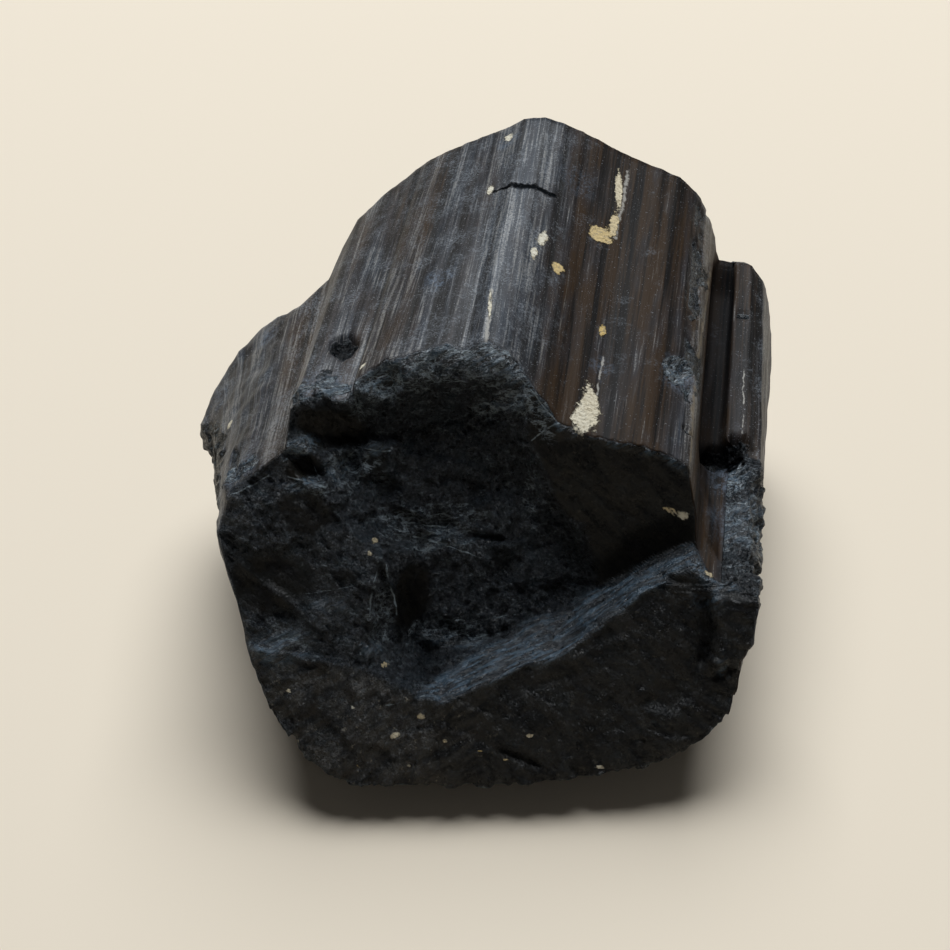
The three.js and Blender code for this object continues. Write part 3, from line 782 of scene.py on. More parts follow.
def make_stone():
    """The whole stone as points, quads and a set of masks. Every point is moved out along its
    normal by the ribs, pits, broken patches and slow swells of its flank."""
    columns = make_columns(4 * CELLS)
    section = (columns[:, 0:2] * [1, 0] + columns[:, 2:4] * [1, 2]) / 2
    t = np.linspace(0, 1, ROWS + 1)
    side, shares = flank(columns, t * (0.55 + 0.45 * t), chipped_rim(columns, section))
    ring, column = ring_and_column(CELLS)
    front, rear = front_end(columns, side, ring, column), rear_end(columns, ring, column)
    points, quads = joined(side, front, rear, ring, column)

    on_flank = np.arange(len(points)) < shares.size
    ribs_at = points[:, [0, 2, 1]] * [1, 1, RIB_STRETCH]
    ribs_at[on_flank, :2] = np.tile(section, (ROWS + 1, 1))
    moved = points + np.stack([fractal(points, 1.8, 111 + 4 * k) for k in range(3)], -1)
    depth, broken, painted_shade = np.array(pitted(points, moved)) * on_flank
    bluish_sheen, crumbled = np.array(sheen_spots(points, moved)) * on_flank
    right, left, edge, under = np.array(flank_breaks(points, moved)) * on_flank
    rough = np.maximum.reduce([right, left, edge, crumbled, 0.8 * under])

    x = points[:, 0]
    swell = np.maximum(smooth(-x, 18, 21), 0.5 * smooth(x, 17.5, 19)) * on_flank
    height = swell * 0.3 * fractal(points, 2.4, 151) - depth - 0.25 * edge
    height[on_flank] += rib_height(ribs_at[on_flank]) * np.minimum(1, 25 * shares).ravel()
    height += rough * (0.18 * shards(points, 2.2, 141) + 0.12 * shards(points, 0.9, 142))
    height += right * (0.35 * shards(points, 1.6, 143) + 0.15 * shards(points, 0.7, 144))
    points = points + normals_of(points, quads) * height[:, None]
    points[:, 2] = np.maximum(points[:, 2], 0)

    # painted shade in the deep lengthwise groove, behind the first 27 mm of the prism
    groove_shade = np.zeros(len(points))
    groove_shade[on_flank] = np.tile(smooth(columns[:, 5], 0.4, 1.2), ROWS + 1)
    return points, quads, {
        "broken": np.where(on_flank, np.maximum(broken, rough), 1.0),
        "painted_shade": np.maximum(painted_shade, groove_shade * smooth(points[:, 1], 25, 29)),
        "coarse": 0.95 - 0.55 * left,
        "bluish_sheen": bluish_sheen,
        "dusty": 0.06 * left + 0.3 * (1 - smooth(points[:, 2], 6, 9)),
        "on_flank": on_flank,
        "ribs": ribs_at,
    }


# ------------------------------------------------------------------ crusts

# Cream and yellow crusts on the prism's faces: centre x, y, height, half width, half
# length, turn in degrees seen from above, tone (0 whitish, 1 yellow).
FLANK_CRUSTS = [
    (6.6, 24.8, 23.4, 0.9, 2.9, 8, 0.2),
    (6.1, 23.2, 23.6, 1.0, 2.0, 5, 0.12),
    (6.9, 33.8, 23.9, 0.35, 0.8, 0, 0.9),
    (5.9, 45.0, 25.1, 1.3, 1.2, -25, 0.75),
    (6.9, 46.8, 24.8, 0.45, 1.8, 0, 0.55),
    (7.0, 51.2, 25.2, 0.4, 3.2, 4, 0.3),
    (2.8, 38.6, 26.2, 0.6, 0.8, 0, 0.8),
    (1.3, 41.2, 27.2, 0.5, 1.2, -15, 0.0),
    (0.8, 39.0, 27.4, 0.35, 0.9, 0, 0.0),
    (-2.0, 30.6, 28.1, 0.2, 2.4, 4, 0.05),
    (-2.9, 55.2, 27.1, 0.5, 0.7, 0, 0.0),
    (-3.7, 47.6, 27.0, 0.35, 0.8, 0, 0.0),
    (-11.6, 25.0, 26.2, 0.2, 0.45, -30, 0.1),
    (-23.2, 27.4, 16.5, 0.3, 0.5, 0, 0.1),
    (16.9, 15.6, 15.4, 0.5, 0.4, 0, 0.5),
]

# The same on the front break: across, up, half width, half height, turn, tone.
FRONT_CRUSTS = [
    (16.4, 24.8, 0.75, 0.45, -10, 0.1),
    (15.3, 25.2, 1.0, 0.25, -8, 0.6),
    (-9.6, 9.8, 0.3, 0.25, 0, 0.0),
    (-7.1, 13.0, 0.35, 0.3, 0, 0.6),
    (-14.6, 11.0, 0.25, 0.2, 0, 0.3),
    (-14.0, 7.1, 0.3, 0.2, 0, 0.3),
    (-6.3, 7.5, 0.5, 0.3, 20, 0.3),
    (-4.3, 9.0, 0.45, 0.35, 0, 0.4),
    (-2.4, 7.1, 0.3, 0.2, 0, 0.5),
    (9.8, 5.0, 0.6, 0.16, 0, 0.2),
    (0.4, 6.3, 0.35, 0.15, 0, 0.9),
    (-9.2, 5.1, 0.2, 0.2, 0, 0.9),
    (4.3, 7.5, 0.4, 0.2, 0, 0.3),
    (-7.9, 22.8, 0.3, 0.3, 0, 0.5),
    (-8.3, 21.8, 0.25, 0.25, 0, 0.3),
    (-5.2, 5.2, 0.2, 0.2, 0, 0.2),
    (2.4, 5.6, 0.3, 0.15, 0, 0.7),
]

FLANK_REACH = 2  # how far above and below its middle a crust on the flank reaches
FRONT_REACH = 3  # and how far in front of and behind the break's mean plane one there does


def make_crusts(points, flat):
    """Two masks at the points. The first is how deep inside a crust a point is: 1 minus its
    distance from the crust's middle in half sizes. The second is the tone of the crust
    that is nearest."""
    crusts = []
    for x, y, z, wide, long, turn, shade in FLANK_CRUSTS:
        crusts.append((points, z, FLANK_REACH, (x, y, wide, long), turn, shade))
    for *spot, turn, shade in FRONT_CRUSTS:
        crusts.append((flat, 0, FRONT_REACH, spot, turn, shade))
    inside = np.full(len(points), -1.0)
    tone = np.zeros(len(points))
    for places, height, thick, spot, turn, shade in crusts:
        a, b = from_middle(places[:, 0], places[:, 1], spot, turn)
        near = 1 - np.sqrt(a**2 + b**2 + ((places[:, 2] - height) / thick) ** 2)
        tone = np.where(near > inside, shade, tone)
        inside = np.maximum(inside, near)
    return inside, tone


def on_break_plane(points):
    """Across, up and out of each point against the front break's mean plane."""
    x = points[:, 0] * math.cos(TURN) + points[:, 1] * math.sin(TURN)
    y = points[:, 1] * math.cos(TURN) - points[:, 0] * math.sin(TURN)
    up = y * math.sin(LEAN) + points[:, 2] * math.cos(LEAN)
    out = points[:, 2] * math.sin(LEAN) - y * math.cos(LEAN)
    return np.stack([x, up, out], -1)


# ------------------------------------------------------------------ the crystal


def make_masks(points, stone):
    """The masks that the material reads at every point. On the front break they come from the
    break's own functions, read at the ragged place, and elsewhere from the stone's masks.
    Light and blue are read off the broad stripes across the prism."""
    flat = on_break_plane(points)
    in_front = (np.abs(flat[:, 2]) < FRONT_DEPTH) & ~stone["on_flank"]
    near = shaken(flat[:, 0], flat[:, 1])
    crust, tone = make_crusts(points, flat)
    lane = stone["ribs"][:, 0]
    return {
        "broken": stone["broken"],
        "grain": np.where(in_front, front_grain(*near), stone["coarse"]),
        "highlight_web": np.where(in_front, crest_highlight_web(*near), 0.35 + 0.6 * stone["bluish_sheen"]),
        "shelf": np.where(in_front, shelf_and_painted_light(*near), stone["bluish_sheen"]),
        "dust_and_light": np.where(in_front, front_dust_and_light(*near), stone["dusty"]),
        "light": np.interp(lane, FACE_BANDS[:, 0], FACE_BANDS[:, 1]),
        "blue": np.interp(lane, FACE_BANDS[:, 0], FACE_BANDS[:, 2]),
        "painted_shade": np.where(in_front, shade_spots(*near), stone["painted_shade"]),
        "crust": crust,
        "crust_tone": tone,
    }


def make_crystal():
    """The stone as an object. Its mesh carries the masks, and three places in millimetres:
    where the ribs are read, the place against the front break, and the place in the stone."""
    points, quads, stone = make_stone()
    mesh = bpy.data.meshes.new("crystal")
    mesh.from_pydata(((points - MIDDLE) * METRES).tolist(), [], quads.tolist())
    mesh.polygons.foreach_set("use_smooth", np.ones(len(quads), bool))
    for name, values in make_masks(points, stone).items():
        mesh.attributes.new(name, "FLOAT", "POINT").data.foreach_set("value", values.astype(np.float32))
    for name, places in (("ribs", stone["ribs"]), ("flat", on_break_plane(points)), ("stone", points)):
        made = mesh.attributes.new(name, "FLOAT_VECTOR", "POINT")
        made.data.foreach_set("vector", places.astype(np.float32).ravel())
    mesh.update()
    made = bpy.data.objects.new("crystal", mesh)
    bpy.context.scene.collection.objects.link(made)
    return made


crystal = make_crystal()

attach(crystal, "root")
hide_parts("tourmaline_crystal")

# ------------------------------------------------------------------ materials

MASKS = ("broken", "grain", "highlight_web", "shelf", "dust_and_light", "light", "blue", "painted_shade", "crust", "crust_tone")

PRISM_BROWN = (0.042, 0.0265, 0.016)
PRISM_BLUE = (0.032, 0.042, 0.057)
PRISM_BLACK = (0.010, 0.009, 0.0085)
THREAD_GREY = (0.24, 0.23, 0.21)
HAZE_GREY = (0.20, 0.22, 0.245)
SPECK_GREY = (0.30, 0.31, 0.33)
STREAK_TAN = (0.17, 0.14, 0.10)
STREAK_PALE = (0.42, 0.40, 0.36)
# painted bluish sheen on the faces
SHEEN_BLUE = (0.16, 0.205, 0.27)
# the dark slit, and painted shade in the pits and the groove
SHADE_AND_SLIT_BLACK = (0.005, 0.006, 0.007)

SMOOTH_BREAK = (0.0145, 0.0122, 0.0080)
HACKLY_BREAK = (0.0062, 0.0078, 0.0098)
TEAL = (0.010, 0.020, 0.027)
HOLLOW_BLACK = (0.0022, 0.0022, 0.0024)
# dust, and painted light on the upper part of the right facet
DUST_AND_LIGHT_BROWN = (0.044, 0.039, 0.032)
FACET_BLUE = (0.029, 0.043, 0.058)
GRIT_GREY = (0.060, 0.069, 0.082)
# painted glints on small facets of the breaks
PAINTED_GLINT_GREY = (0.11, 0.125, 0.15)
# painted highlights along the crests of the breaks
CREST_HIGHLIGHT = (0.27, 0.32, 0.35)
CRUMB_CREAM = (0.30, 0.27, 0.21)
# the shelf's fibres, with painted light and bluish sheen
FIBRE_AND_LIGHT_BLUE = (0.072, 0.116, 0.160)
# painted shade in pits, cavities, the groove and the shade spots
PAINTED_SHADE_BLACK = (0.0016, 0.0017, 0.0018)

CRUST_WHITISH = (0.72, 0.68, 0.56)
CRUST_YELLOW = (0.58, 0.40, 0.13)
CRUST_DIRT = (0.36, 0.30, 0.20)

TABLE_CREAM = (0.82, 0.72, 0.58)


def put(tree, kind, inputs=None, **settings):
    """Adds a node, sets its options, and fills its inputs with values or links."""
    made = tree.nodes.new(kind)
    for option, value in settings.items():
        setattr(made, option, value)
    for key, value in (inputs or {}).items():
        if isinstance(value, bpy.types.NodeSocket):
            tree.links.new(value, made.inputs[key])
        else:
            made.inputs[key].default_value = value
    return made


def maths(tree, operation, *values, clamp=False):
    """One arithmetic step on sockets or numbers."""
    made = put(tree, "ShaderNodeMath", dict(enumerate(values)), operation=operation, use_clamp=clamp)
    return made.outputs[0]


def times(tree, first, second):
    """The product of two values."""
    return maths(tree, "MULTIPLY", first, second)


def plus_times(tree, start, value, factor, clamp=False):
    """A start value plus another value times a factor."""
    return maths(tree, "MULTIPLY_ADD", value, factor, start, clamp=clamp)


def vectors(tree, operation, first, second, result=0):
    """One arithmetic step on two vectors."""
    return put(tree, "ShaderNodeVectorMath", {0: first, 1: second}, operation=operation).outputs[result]


def scaled(tree, vector, factor):
    """A vector times a number."""
    return put(tree, "ShaderNodeVectorMath", {0: vector, 3: factor}, operation="SCALE").outputs[0]


def mixed(tree, share, first, second):
    """A mix of two values."""
    return put(tree, "ShaderNodeMix", {0: share, 2: first, 3: second}).outputs[0]


def spread(tree, value, low, high, to_low=0.0, to_high=1.0):
    """A value's range mapped smoothly to another range."""
    made = put(
        tree,
        "ShaderNodeMapRange",
        {"Value": value, "From Min": low, "From Max": high, "To Min": to_low, "To Max": to_high},
        interpolation_type="SMOOTHSTEP",
    )
    return made.outputs[0]


def blend(tree, share, first, second):
    """A mix of two colours."""
    made = put(tree, "ShaderNodeMix", data_type="RGBA")
    for key, value in ((0, share), (6, first), (7, second)):
        if isinstance(value, bpy.types.NodeSocket):
            tree.links.new(value, made.inputs[key])
        else:
            made.inputs[key].default_value = value if key == 0 else (*value, 1.0)
    return made.outputs[2]


def cloud(tree, place, scale, detail=3.0, rough=0.55):
    """Noise read at a place."""
    inputs = {"Vector": place, "Scale": scale, "Detail": detail, "Roughness": rough}
    return put(tree, "ShaderNodeTexNoise", inputs).outputs[0]


def patches(tree, place, scale, detail, rough, low, high):
    """Soft-edged patches: 0 where a noise is below low and 1 where it is above high."""
    return spread(tree, cloud(tree, place, scale, detail, rough), low, high)


def coats(tree, colour, *layers):
    """A colour with others laid over it one by one, each by its own share."""
    for share, over in layers:
        colour = blend(tree, share, colour, over)
    return colour


def new_group(name, ins, outs):
    """An empty node group with the given inputs and outputs."""
    tree = bpy.data.node_groups.new(name, "ShaderNodeTree")
    for label, kind, start in ins:
        made = tree.interface.new_socket(label, in_out="INPUT", socket_type=kind)
        if start is not None:
            made.default_value = start
    for label, kind in outs:
        tree.interface.new_socket(label, in_out="OUTPUT", socket_type=kind)
    return tree, tree.nodes.new("NodeGroupInput").outputs, tree.nodes.new("NodeGroupOutput").inputs


def place_group(tree, group, inputs):
    """A node group placed in a tree with its own values."""
    made = put(tree, "ShaderNodeGroup", node_tree=group)
    for key, value in inputs.items():
        if isinstance(value, bpy.types.NodeSocket):
            tree.links.new(value, made.inputs[key])
        else:
            made.inputs[key].default_value = value
    return made.outputs


def make_facets_group():
    """Small broken facets. In each cell of a cell texture the height is the cell's own slope
    times the way from its centre, plus its own level."""
    tree, given, out = new_group(
        "broken facets",
        [("Place", "NodeSocketVector", None), ("Size", "NodeSocketFloat", 1.0)],
        [("Height", "NodeSocketFloat"), ("Shade", "NodeSocketFloat")],
    )
    place = scaled(tree, given["Place"], maths(tree, "DIVIDE", 1.0, given["Size"]))
    cells = put(tree, "ShaderNodeTexVoronoi", {"Vector": place, "Scale": 1.0, "Randomness": 1.0})
    way = vectors(tree, "SUBTRACT", place, cells.outputs["Position"])
    slope = vectors(tree, "SUBTRACT", cells.outputs["Color"], (0.5, 0.5, 0.5))
    lean = vectors(tree, "DOT_PRODUCT", slope, way, "Value")
    own = put(tree, "ShaderNodeSeparateXYZ", {0: cells.outputs["Color"]}).outputs
    tilted = times(tree, lean, 1.6)
    height = maths(tree, "ADD", tilted, times(tree, own[0], 0.5))
    tree.links.new(times(tree, height, given["Size"]), out["Height"])
    tree.links.new(own[1], out["Shade"])
    return tree


def make_drawn_group():
    """Noise drawn out along a direction: the part of the place along it is cut to a share."""
    tree, given, out = new_group(
        "drawn-out noise",
        [
            ("Place", "NodeSocketVector", None),
            ("Along", "NodeSocketVector", (0.0, 1.0, 0.0)),
            ("Share", "NodeSocketFloat", 0.1),
            ("Scale", "NodeSocketFloat", 1.0),
        ],
        [("Value", "NodeSocketFloat")],
    )
    length = vectors(tree, "DOT_PRODUCT", given["Place"], given["Along"], "Value")
    cut = times(tree, length, maths(tree, "SUBTRACT", 1.0, given["Share"]))
    left = vectors(tree, "SUBTRACT", given["Place"], scaled(tree, given["Along"], cut))
    tree.links.new(cloud(tree, left, given["Scale"], 3.0, 0.6), out["Value"])
    return tree


def make_faces_group():
    """The prism's faces. Noise drawn out along the prism gives the ribs, the dark and pale
    streaks and the brown and bluish stripes; a fine even noise gives the pale specks."""
    tree, given, out = new_group(
        "prism face",
        [
            ("Along", "NodeSocketVector", None),
            ("Place", "NodeSocketVector", None),
            ("Light", "NodeSocketFloat", 0.4),
            ("Blue", "NodeSocketFloat", 0.5),
        ],
        [("Colour", "NodeSocketColor"), ("Height", "NodeSocketFloat"), ("Gloss", "NodeSocketFloat")],
    )
    narrow = cloud(tree, given["Along"], 1.1, 4.0, 0.6)
    fine = cloud(tree, given["Along"], 6.0, 2.0, 0.6)
    patchy = vectors(tree, "MULTIPLY", given["Along"], (1.0, 1.0, 7.0))
    wide = cloud(tree, patchy, 0.55, 4.0, 0.6)
    grit = cloud(tree, given["Place"], 5.0, 3.0, 0.7)
    patch = maths(tree, "SUBTRACT", wide, 0.5)

    bluer = plus_times(tree, given["Blue"], patch, 2.4, clamp=True)
    shade = plus_times(tree, times(tree, fine, 0.3), narrow, 0.7)
    thread = plus_times(tree, times(tree, narrow, 0.5), fine, 0.5)
    thread = plus_times(tree, thread, given["Light"], 0.2)
    thread = plus_times(tree, thread, patch, 0.35)
    thread = times(tree, spread(tree, thread, 0.62, 0.76), spread(tree, grit, 0.30, 0.6))
    haze = plus_times(tree, cloud(tree, given["Place"], 0.33, 5.0, 0.75), given["Light"], 0.28)
    haze = times(tree, spread(tree, haze, 0.60, 0.78), spread(tree, grit, 0.42, 0.60))
    dots = plus_times(tree, cloud(tree, given["Place"], 8.0, 2.0, 0.5), given["Light"], 0.10)

    body = blend(tree, bluer, PRISM_BROWN, PRISM_BLUE)
    body = blend(tree, spread(tree, shade, 0.38, 0.58), PRISM_BLACK, body)
    colour = coats(
        tree,
        body,
        (times(tree, thread, 0.75), THREAD_GREY),
        (times(tree, haze, 0.45), HAZE_GREY),
        (times(tree, spread(tree, dots, 0.68, 0.76), 0.6), SPECK_GREY),
    )
    tree.links.new(colour, out["Colour"])

    height = plus_times(tree, times(tree, fine, 0.02), narrow, 0.06)
    tree.links.new(plus_times(tree, height, grit, 0.012), out["Height"])
    gloss = plus_times(tree, -0.005, given["Light"], 0.24, clamp=True)
    tree.links.new(plus_times(tree, gloss, thread, 0.15), out["Gloss"])
    return tree


def make_line_group():
    """A thin line from one place to another: 1 within its half width, broken into bits by a
    noise that all the lines of a set share."""
    tree, given, out = new_group(
        "thin line",
        [
            ("Place", "NodeSocketVector", None),
            ("From", "NodeSocketVector", None),
            ("To", "NodeSocketVector", None),
            ("Half Width", "NodeSocketFloat", 0.1),
            ("Bits", "NodeSocketFloat", 0.5),
        ],
        [("Mask", "NodeSocketFloat")],
    )
    way = vectors(tree, "SUBTRACT", given["Place"], given["From"])
    run = vectors(tree, "SUBTRACT", given["To"], given["From"])
    done = vectors(tree, "DOT_PRODUCT", way, run, "Value")
    whole = vectors(tree, "DOT_PRODUCT", run, run, "Value")
    share = maths(tree, "DIVIDE", done, whole, clamp=True)
    away = vectors(tree, "DISTANCE", way, scaled(tree, run, share), "Value")
    edge = maths(tree, "DIVIDE", away, given["Half Width"])
    edge = plus_times(tree, edge, maths(tree, "SUBTRACT", 0.55, given["Bits"]), 2.5)
    tree.links.new(spread(tree, edge, 0.4, 1.1, 1.0, 0.0), out["Mask"])
    return tree


def make_crests_group():
    """Painted highlights on crests: thin pale lines where a noise crosses its middle value, broken up by
    another noise.
    """
    tree, given, out = new_group(
        "crest lines",
        [
            ("Place", "NodeSocketVector", None),
            ("Scale", "NodeSocketFloat", 1.0),
            ("Thick", "NodeSocketFloat", 0.5),
        ],
        [("Mask", "NodeSocketFloat")],
    )
    field = cloud(tree, given["Place"], given["Scale"], 4.0, 0.6)
    gap = maths(tree, "ABSOLUTE", maths(tree, "SUBTRACT", field, 0.5))
    line = spread(tree, gap, 0.007, 0.034, 1.0, 0.0)
    elsewhere = vectors(tree, "ADD", given["Place"], (7.1, 3.3, 5.7))
    keep = cloud(tree, elsewhere, 2.0, 4.0, 0.75)
    keep = plus_times(tree, keep, given["Thick"], 0.25)
    tree.links.new(times(tree, line, spread(tree, keep, 0.56, 0.70)), out["Mask"])
    return tree


def make_crust_group():
    """The ragged outline of the cream crusts, from how deep inside one a point lies."""
    tree, given, out = new_group(
        "cream crust",
        [("Inside", "NodeSocketFloat", 0.0), ("Place", "NodeSocketVector", None)],
        [("Mask", "NodeSocketFloat"), ("Height", "NodeSocketFloat")],
    )
    ragged = cloud(tree, given["Place"], 1.8, 5.0, 0.7)
    field = plus_times(tree, given["Inside"], maths(tree, "SUBTRACT", ragged, 0.5), 1.7)
    tree.links.new(spread(tree, field, 0.1, 0.3), out["Mask"])
    tree.links.new(times(tree, cloud(tree, given["Place"], 4.0), 0.15), out["Height"])
    return tree


FACETS = make_facets_group()
DRAWN = make_drawn_group()
FACES = make_faces_group()
CRESTS = make_crests_group()
LINE = make_line_group()
CRUST = make_crust_group()


def new_material(name):
    """An empty material, with its node tree and its Principled shader."""
    made = bpy.data.materials.new(name)
    made.use_nodes = True
    return made, made.node_tree, made.node_tree.nodes["Principled BSDF"]


def attribute(tree, name):
    """The outputs that read one of the mesh's masks or places."""
    return put(tree, "ShaderNodeAttribute", attribute_name=name).outputs


def run_on_break(angle):
    """The direction that climbs by an angle, in degrees, from level along the front break."""
    climb = math.radians(angle)
    across = np.array([math.cos(TURN), math.sin(TURN), 0.0])
    up = np.array([-math.sin(TURN) * math.sin(LEAN), math.cos(TURN) * math.sin(LEAN), math.cos(LEAN)])
    return tuple(across * math.cos(climb) + up * math.sin(climb))


SHELF_RUN = run_on_break(30)  # the fibres of the shelf climb to the right
FACET_RUN = run_on_break(-44)  # the grooves of the right facet fall to the right


def add_lines(tree, place, lines):
    """The largest mask of several thin lines."""
    total = 0.0
    bits = cloud(tree, place, 1.5, 3.0, 0.7)
    for line in lines:
        ends = {"From": line[:3], "To": line[3:6], "Half Width": line[6], "Bits": bits}
        total = maths(tree, "MAXIMUM", total, place_group(tree, LINE, {"Place": place, **ends})["Mask"])
    return total


def shaken_place(tree, place, scale, far):
    """A place moved up to far in every direction by a noise."""
    drift = put(tree, "ShaderNodeTexNoise", {"Vector": place, "Scale": scale, "Detail": 2.0})
    drift = vectors(tree, "SUBTRACT", drift.outputs["Color"], (0.5, 0.5, 0.5))
    inputs = {0: drift, 1: (2 * far, 2 * far, 2 * far), 2: place}
    return put(tree, "ShaderNodeVectorMath", inputs, operation="MULTIPLY_ADD").outputs[0]


def crest_highlights(tree, highlight_web):
    """Painted highlights on crests: pale crest lines of two widths and hair-thin lines, all on the front
    break's plane.
    """
    flat = attribute(tree, "flat")["Vector"]
    drawn = vectors(tree, "MULTIPLY", flat, (0.4, 1.0, 1.0))
    coarse, fine = (
        place_group(tree, CRESTS, {"Place": drawn, "Scale": scale, "Thick": highlight_web})["Mask"]
        for scale in (0.7, 2.2)
    )
    crests = maths(tree, "MAXIMUM", coarse, times(tree, fine, 0.75))
    crests = times(tree, crests, spread(tree, highlight_web, 0.0, 0.55))
    on_plane = vectors(tree, "MULTIPLY", flat, (1.0, 1.0, 0.0))
    lines = [(a0, u0, 0.0, a1, u1, 0.0, wide) for a0, u0, a1, u1, wide in HAIRLINES]
    hairs = add_lines(tree, shaken_place(tree, on_plane, 0.45, 0.35), lines)
    out = put(tree, "ShaderNodeSeparateXYZ", {0: flat}).outputs[2]
    hairs = times(tree, hairs, spread(tree, out, -5.0, -4.5))
    return maths(tree, "MAXIMUM", times(tree, crests, 0.85), hairs)


def face_colour(tree, at, place, body, shaken, sunk):
    """The prism's faces: their own body colour, a tan streak, pale streaks, a painted bluish sheen,
    the dark slit, and painted shade in the pits and the groove."""
    tan = add_lines(tree, shaken, TAN_STREAKS)
    streaks = add_lines(tree, shaken, STREAKS)
    # painted bluish sheen on the faces, from the sheen spots
    painted_sheen = patches(tree, place, 1.6, 5.0, 0.75, 0.38, 0.58)
    painted_sheen = times(tree, painted_sheen, patches(tree, place, 5.0, 3.0, 0.7, 0.36, 0.58))
    painted_sheen = times(tree, times(tree, at["shelf"], painted_sheen), 0.55)
    return coats(
        tree,
        body,
        (times(tree, tan, 0.8), STREAK_TAN),
        (times(tree, streaks, 0.75), STREAK_PALE),
        (painted_sheen, SHEEN_BLUE),
        # painted shade of the pits and groove, and the dark slit
        (sunk, SHADE_AND_SLIT_BLACK),
    )


def break_colour(tree, at, place, noises):
    """The breaks: near black and browner where smooth, then teal patches, darker mottled patches,
    dust and painted light, bluish facets, grit, painted glints, painted crest highlights, cream
    crumbs, the shelf's fibres with painted light, and painted shade in pits and shade spots."""
    grain, hackly, dust_and_light = at["grain"], noises["hackly"], at["dust_and_light"]
    large, small = noises["large"]["Shade"], noises["small"]["Shade"]
    teal = times(tree, patches(tree, place, 0.5, 4.0, 0.65, 0.47, 0.6), grain)
    drawn_out = mixed(tree, spread(tree, dust_and_light, 0.25, 0.5), noises["grooves"], noises["layers"])
    mottle = mixed(tree, hackly, drawn_out, cloud(tree, place, 0.9, 5.0, 0.7))
    mottle = spread(tree, mottle, 0.40, 0.58)
    pieces = times(tree, times(tree, small, large), hackly)
    grit = times(tree, patches(tree, place, 3.6, 3.0, 0.75, 0.52, 0.62), hackly)
    # painted glints: bright tiny facets standing in for glittering light
    painted_glint = times(tree, spread(tree, small, 0.7, 1.0), times(tree, hackly, grain))
    painted_glint = times(tree, painted_glint, patches(tree, place, 1.7, 3.0, 0.6, 0.42, 0.6))
    crumbs = times(tree, patches(tree, place, 1.7, 5.0, 0.8, 0.60, 0.66), dust_and_light)
    uneven = spread(tree, cloud(tree, place, 0.8, 4.0, 0.7), 0.40, 0.58, 0.35, 1.0)
    strands = times(tree, times(tree, at["shelf"], uneven), spread(tree, noises["fibres"], 0.46, 0.56))
    return coats(
        tree,
        blend(tree, grain, SMOOTH_BREAK, HACKLY_BREAK),
        (times(tree, teal, 0.5), TEAL),
        (plus_times(tree, 0.8, mottle, -0.8), HOLLOW_BLACK),
        # dust, and painted light on the right facet's upper part
        (times(tree, dust_and_light, mottle), DUST_AND_LIGHT_BROWN),
        (times(tree, pieces, 0.5), FACET_BLUE),
        (times(tree, grit, 0.5), GRIT_GREY),
        (times(tree, painted_glint, 0.4), PAINTED_GLINT_GREY),
        # painted highlights on the crests
        (times(tree, crest_highlights(tree, at["highlight_web"]), 0.85), CREST_HIGHLIGHT),
        (times(tree, crumbs, 0.6), CRUMB_CREAM),
        # the shelf's fibres, partly painted light
        (times(tree, strands, 0.85), FIBRE_AND_LIGHT_BLUE),
        # painted shade in pits, the groove and the shade spots
        (times(tree, at["painted_shade"], 0.85), PAINTED_SHADE_BLACK),
    )


def break_height(tree, at, place, noises):
    """Small relief of the breaks, in millimetres: facets and a noise, scaled by how hackly the
    place is, then the shelf's fibres and the smooth parts' grooves."""
    chips = plus_times(tree, times(tree, noises["small"]["Height"], 1.0), noises["large"]["Height"], 0.45)
    chips = plus_times(tree, chips, cloud(tree, place, 1.3, 6.0, 0.75), 0.4)
    off_shelf = plus_times(tree, 1.0, at["shelf"], -0.75)
    chips = times(tree, chips, times(tree, maths(tree, "ADD", 0.15, noises["hackly"]), off_shelf))
    chips = plus_times(tree, chips, times(tree, noises["fibres"], at["shelf"]), 0.6)
    plain = maths(tree, "SUBTRACT", 1.0, at["grain"])
    return plus_times(tree, chips, times(tree, noises["grooves"], plain), 0.2)


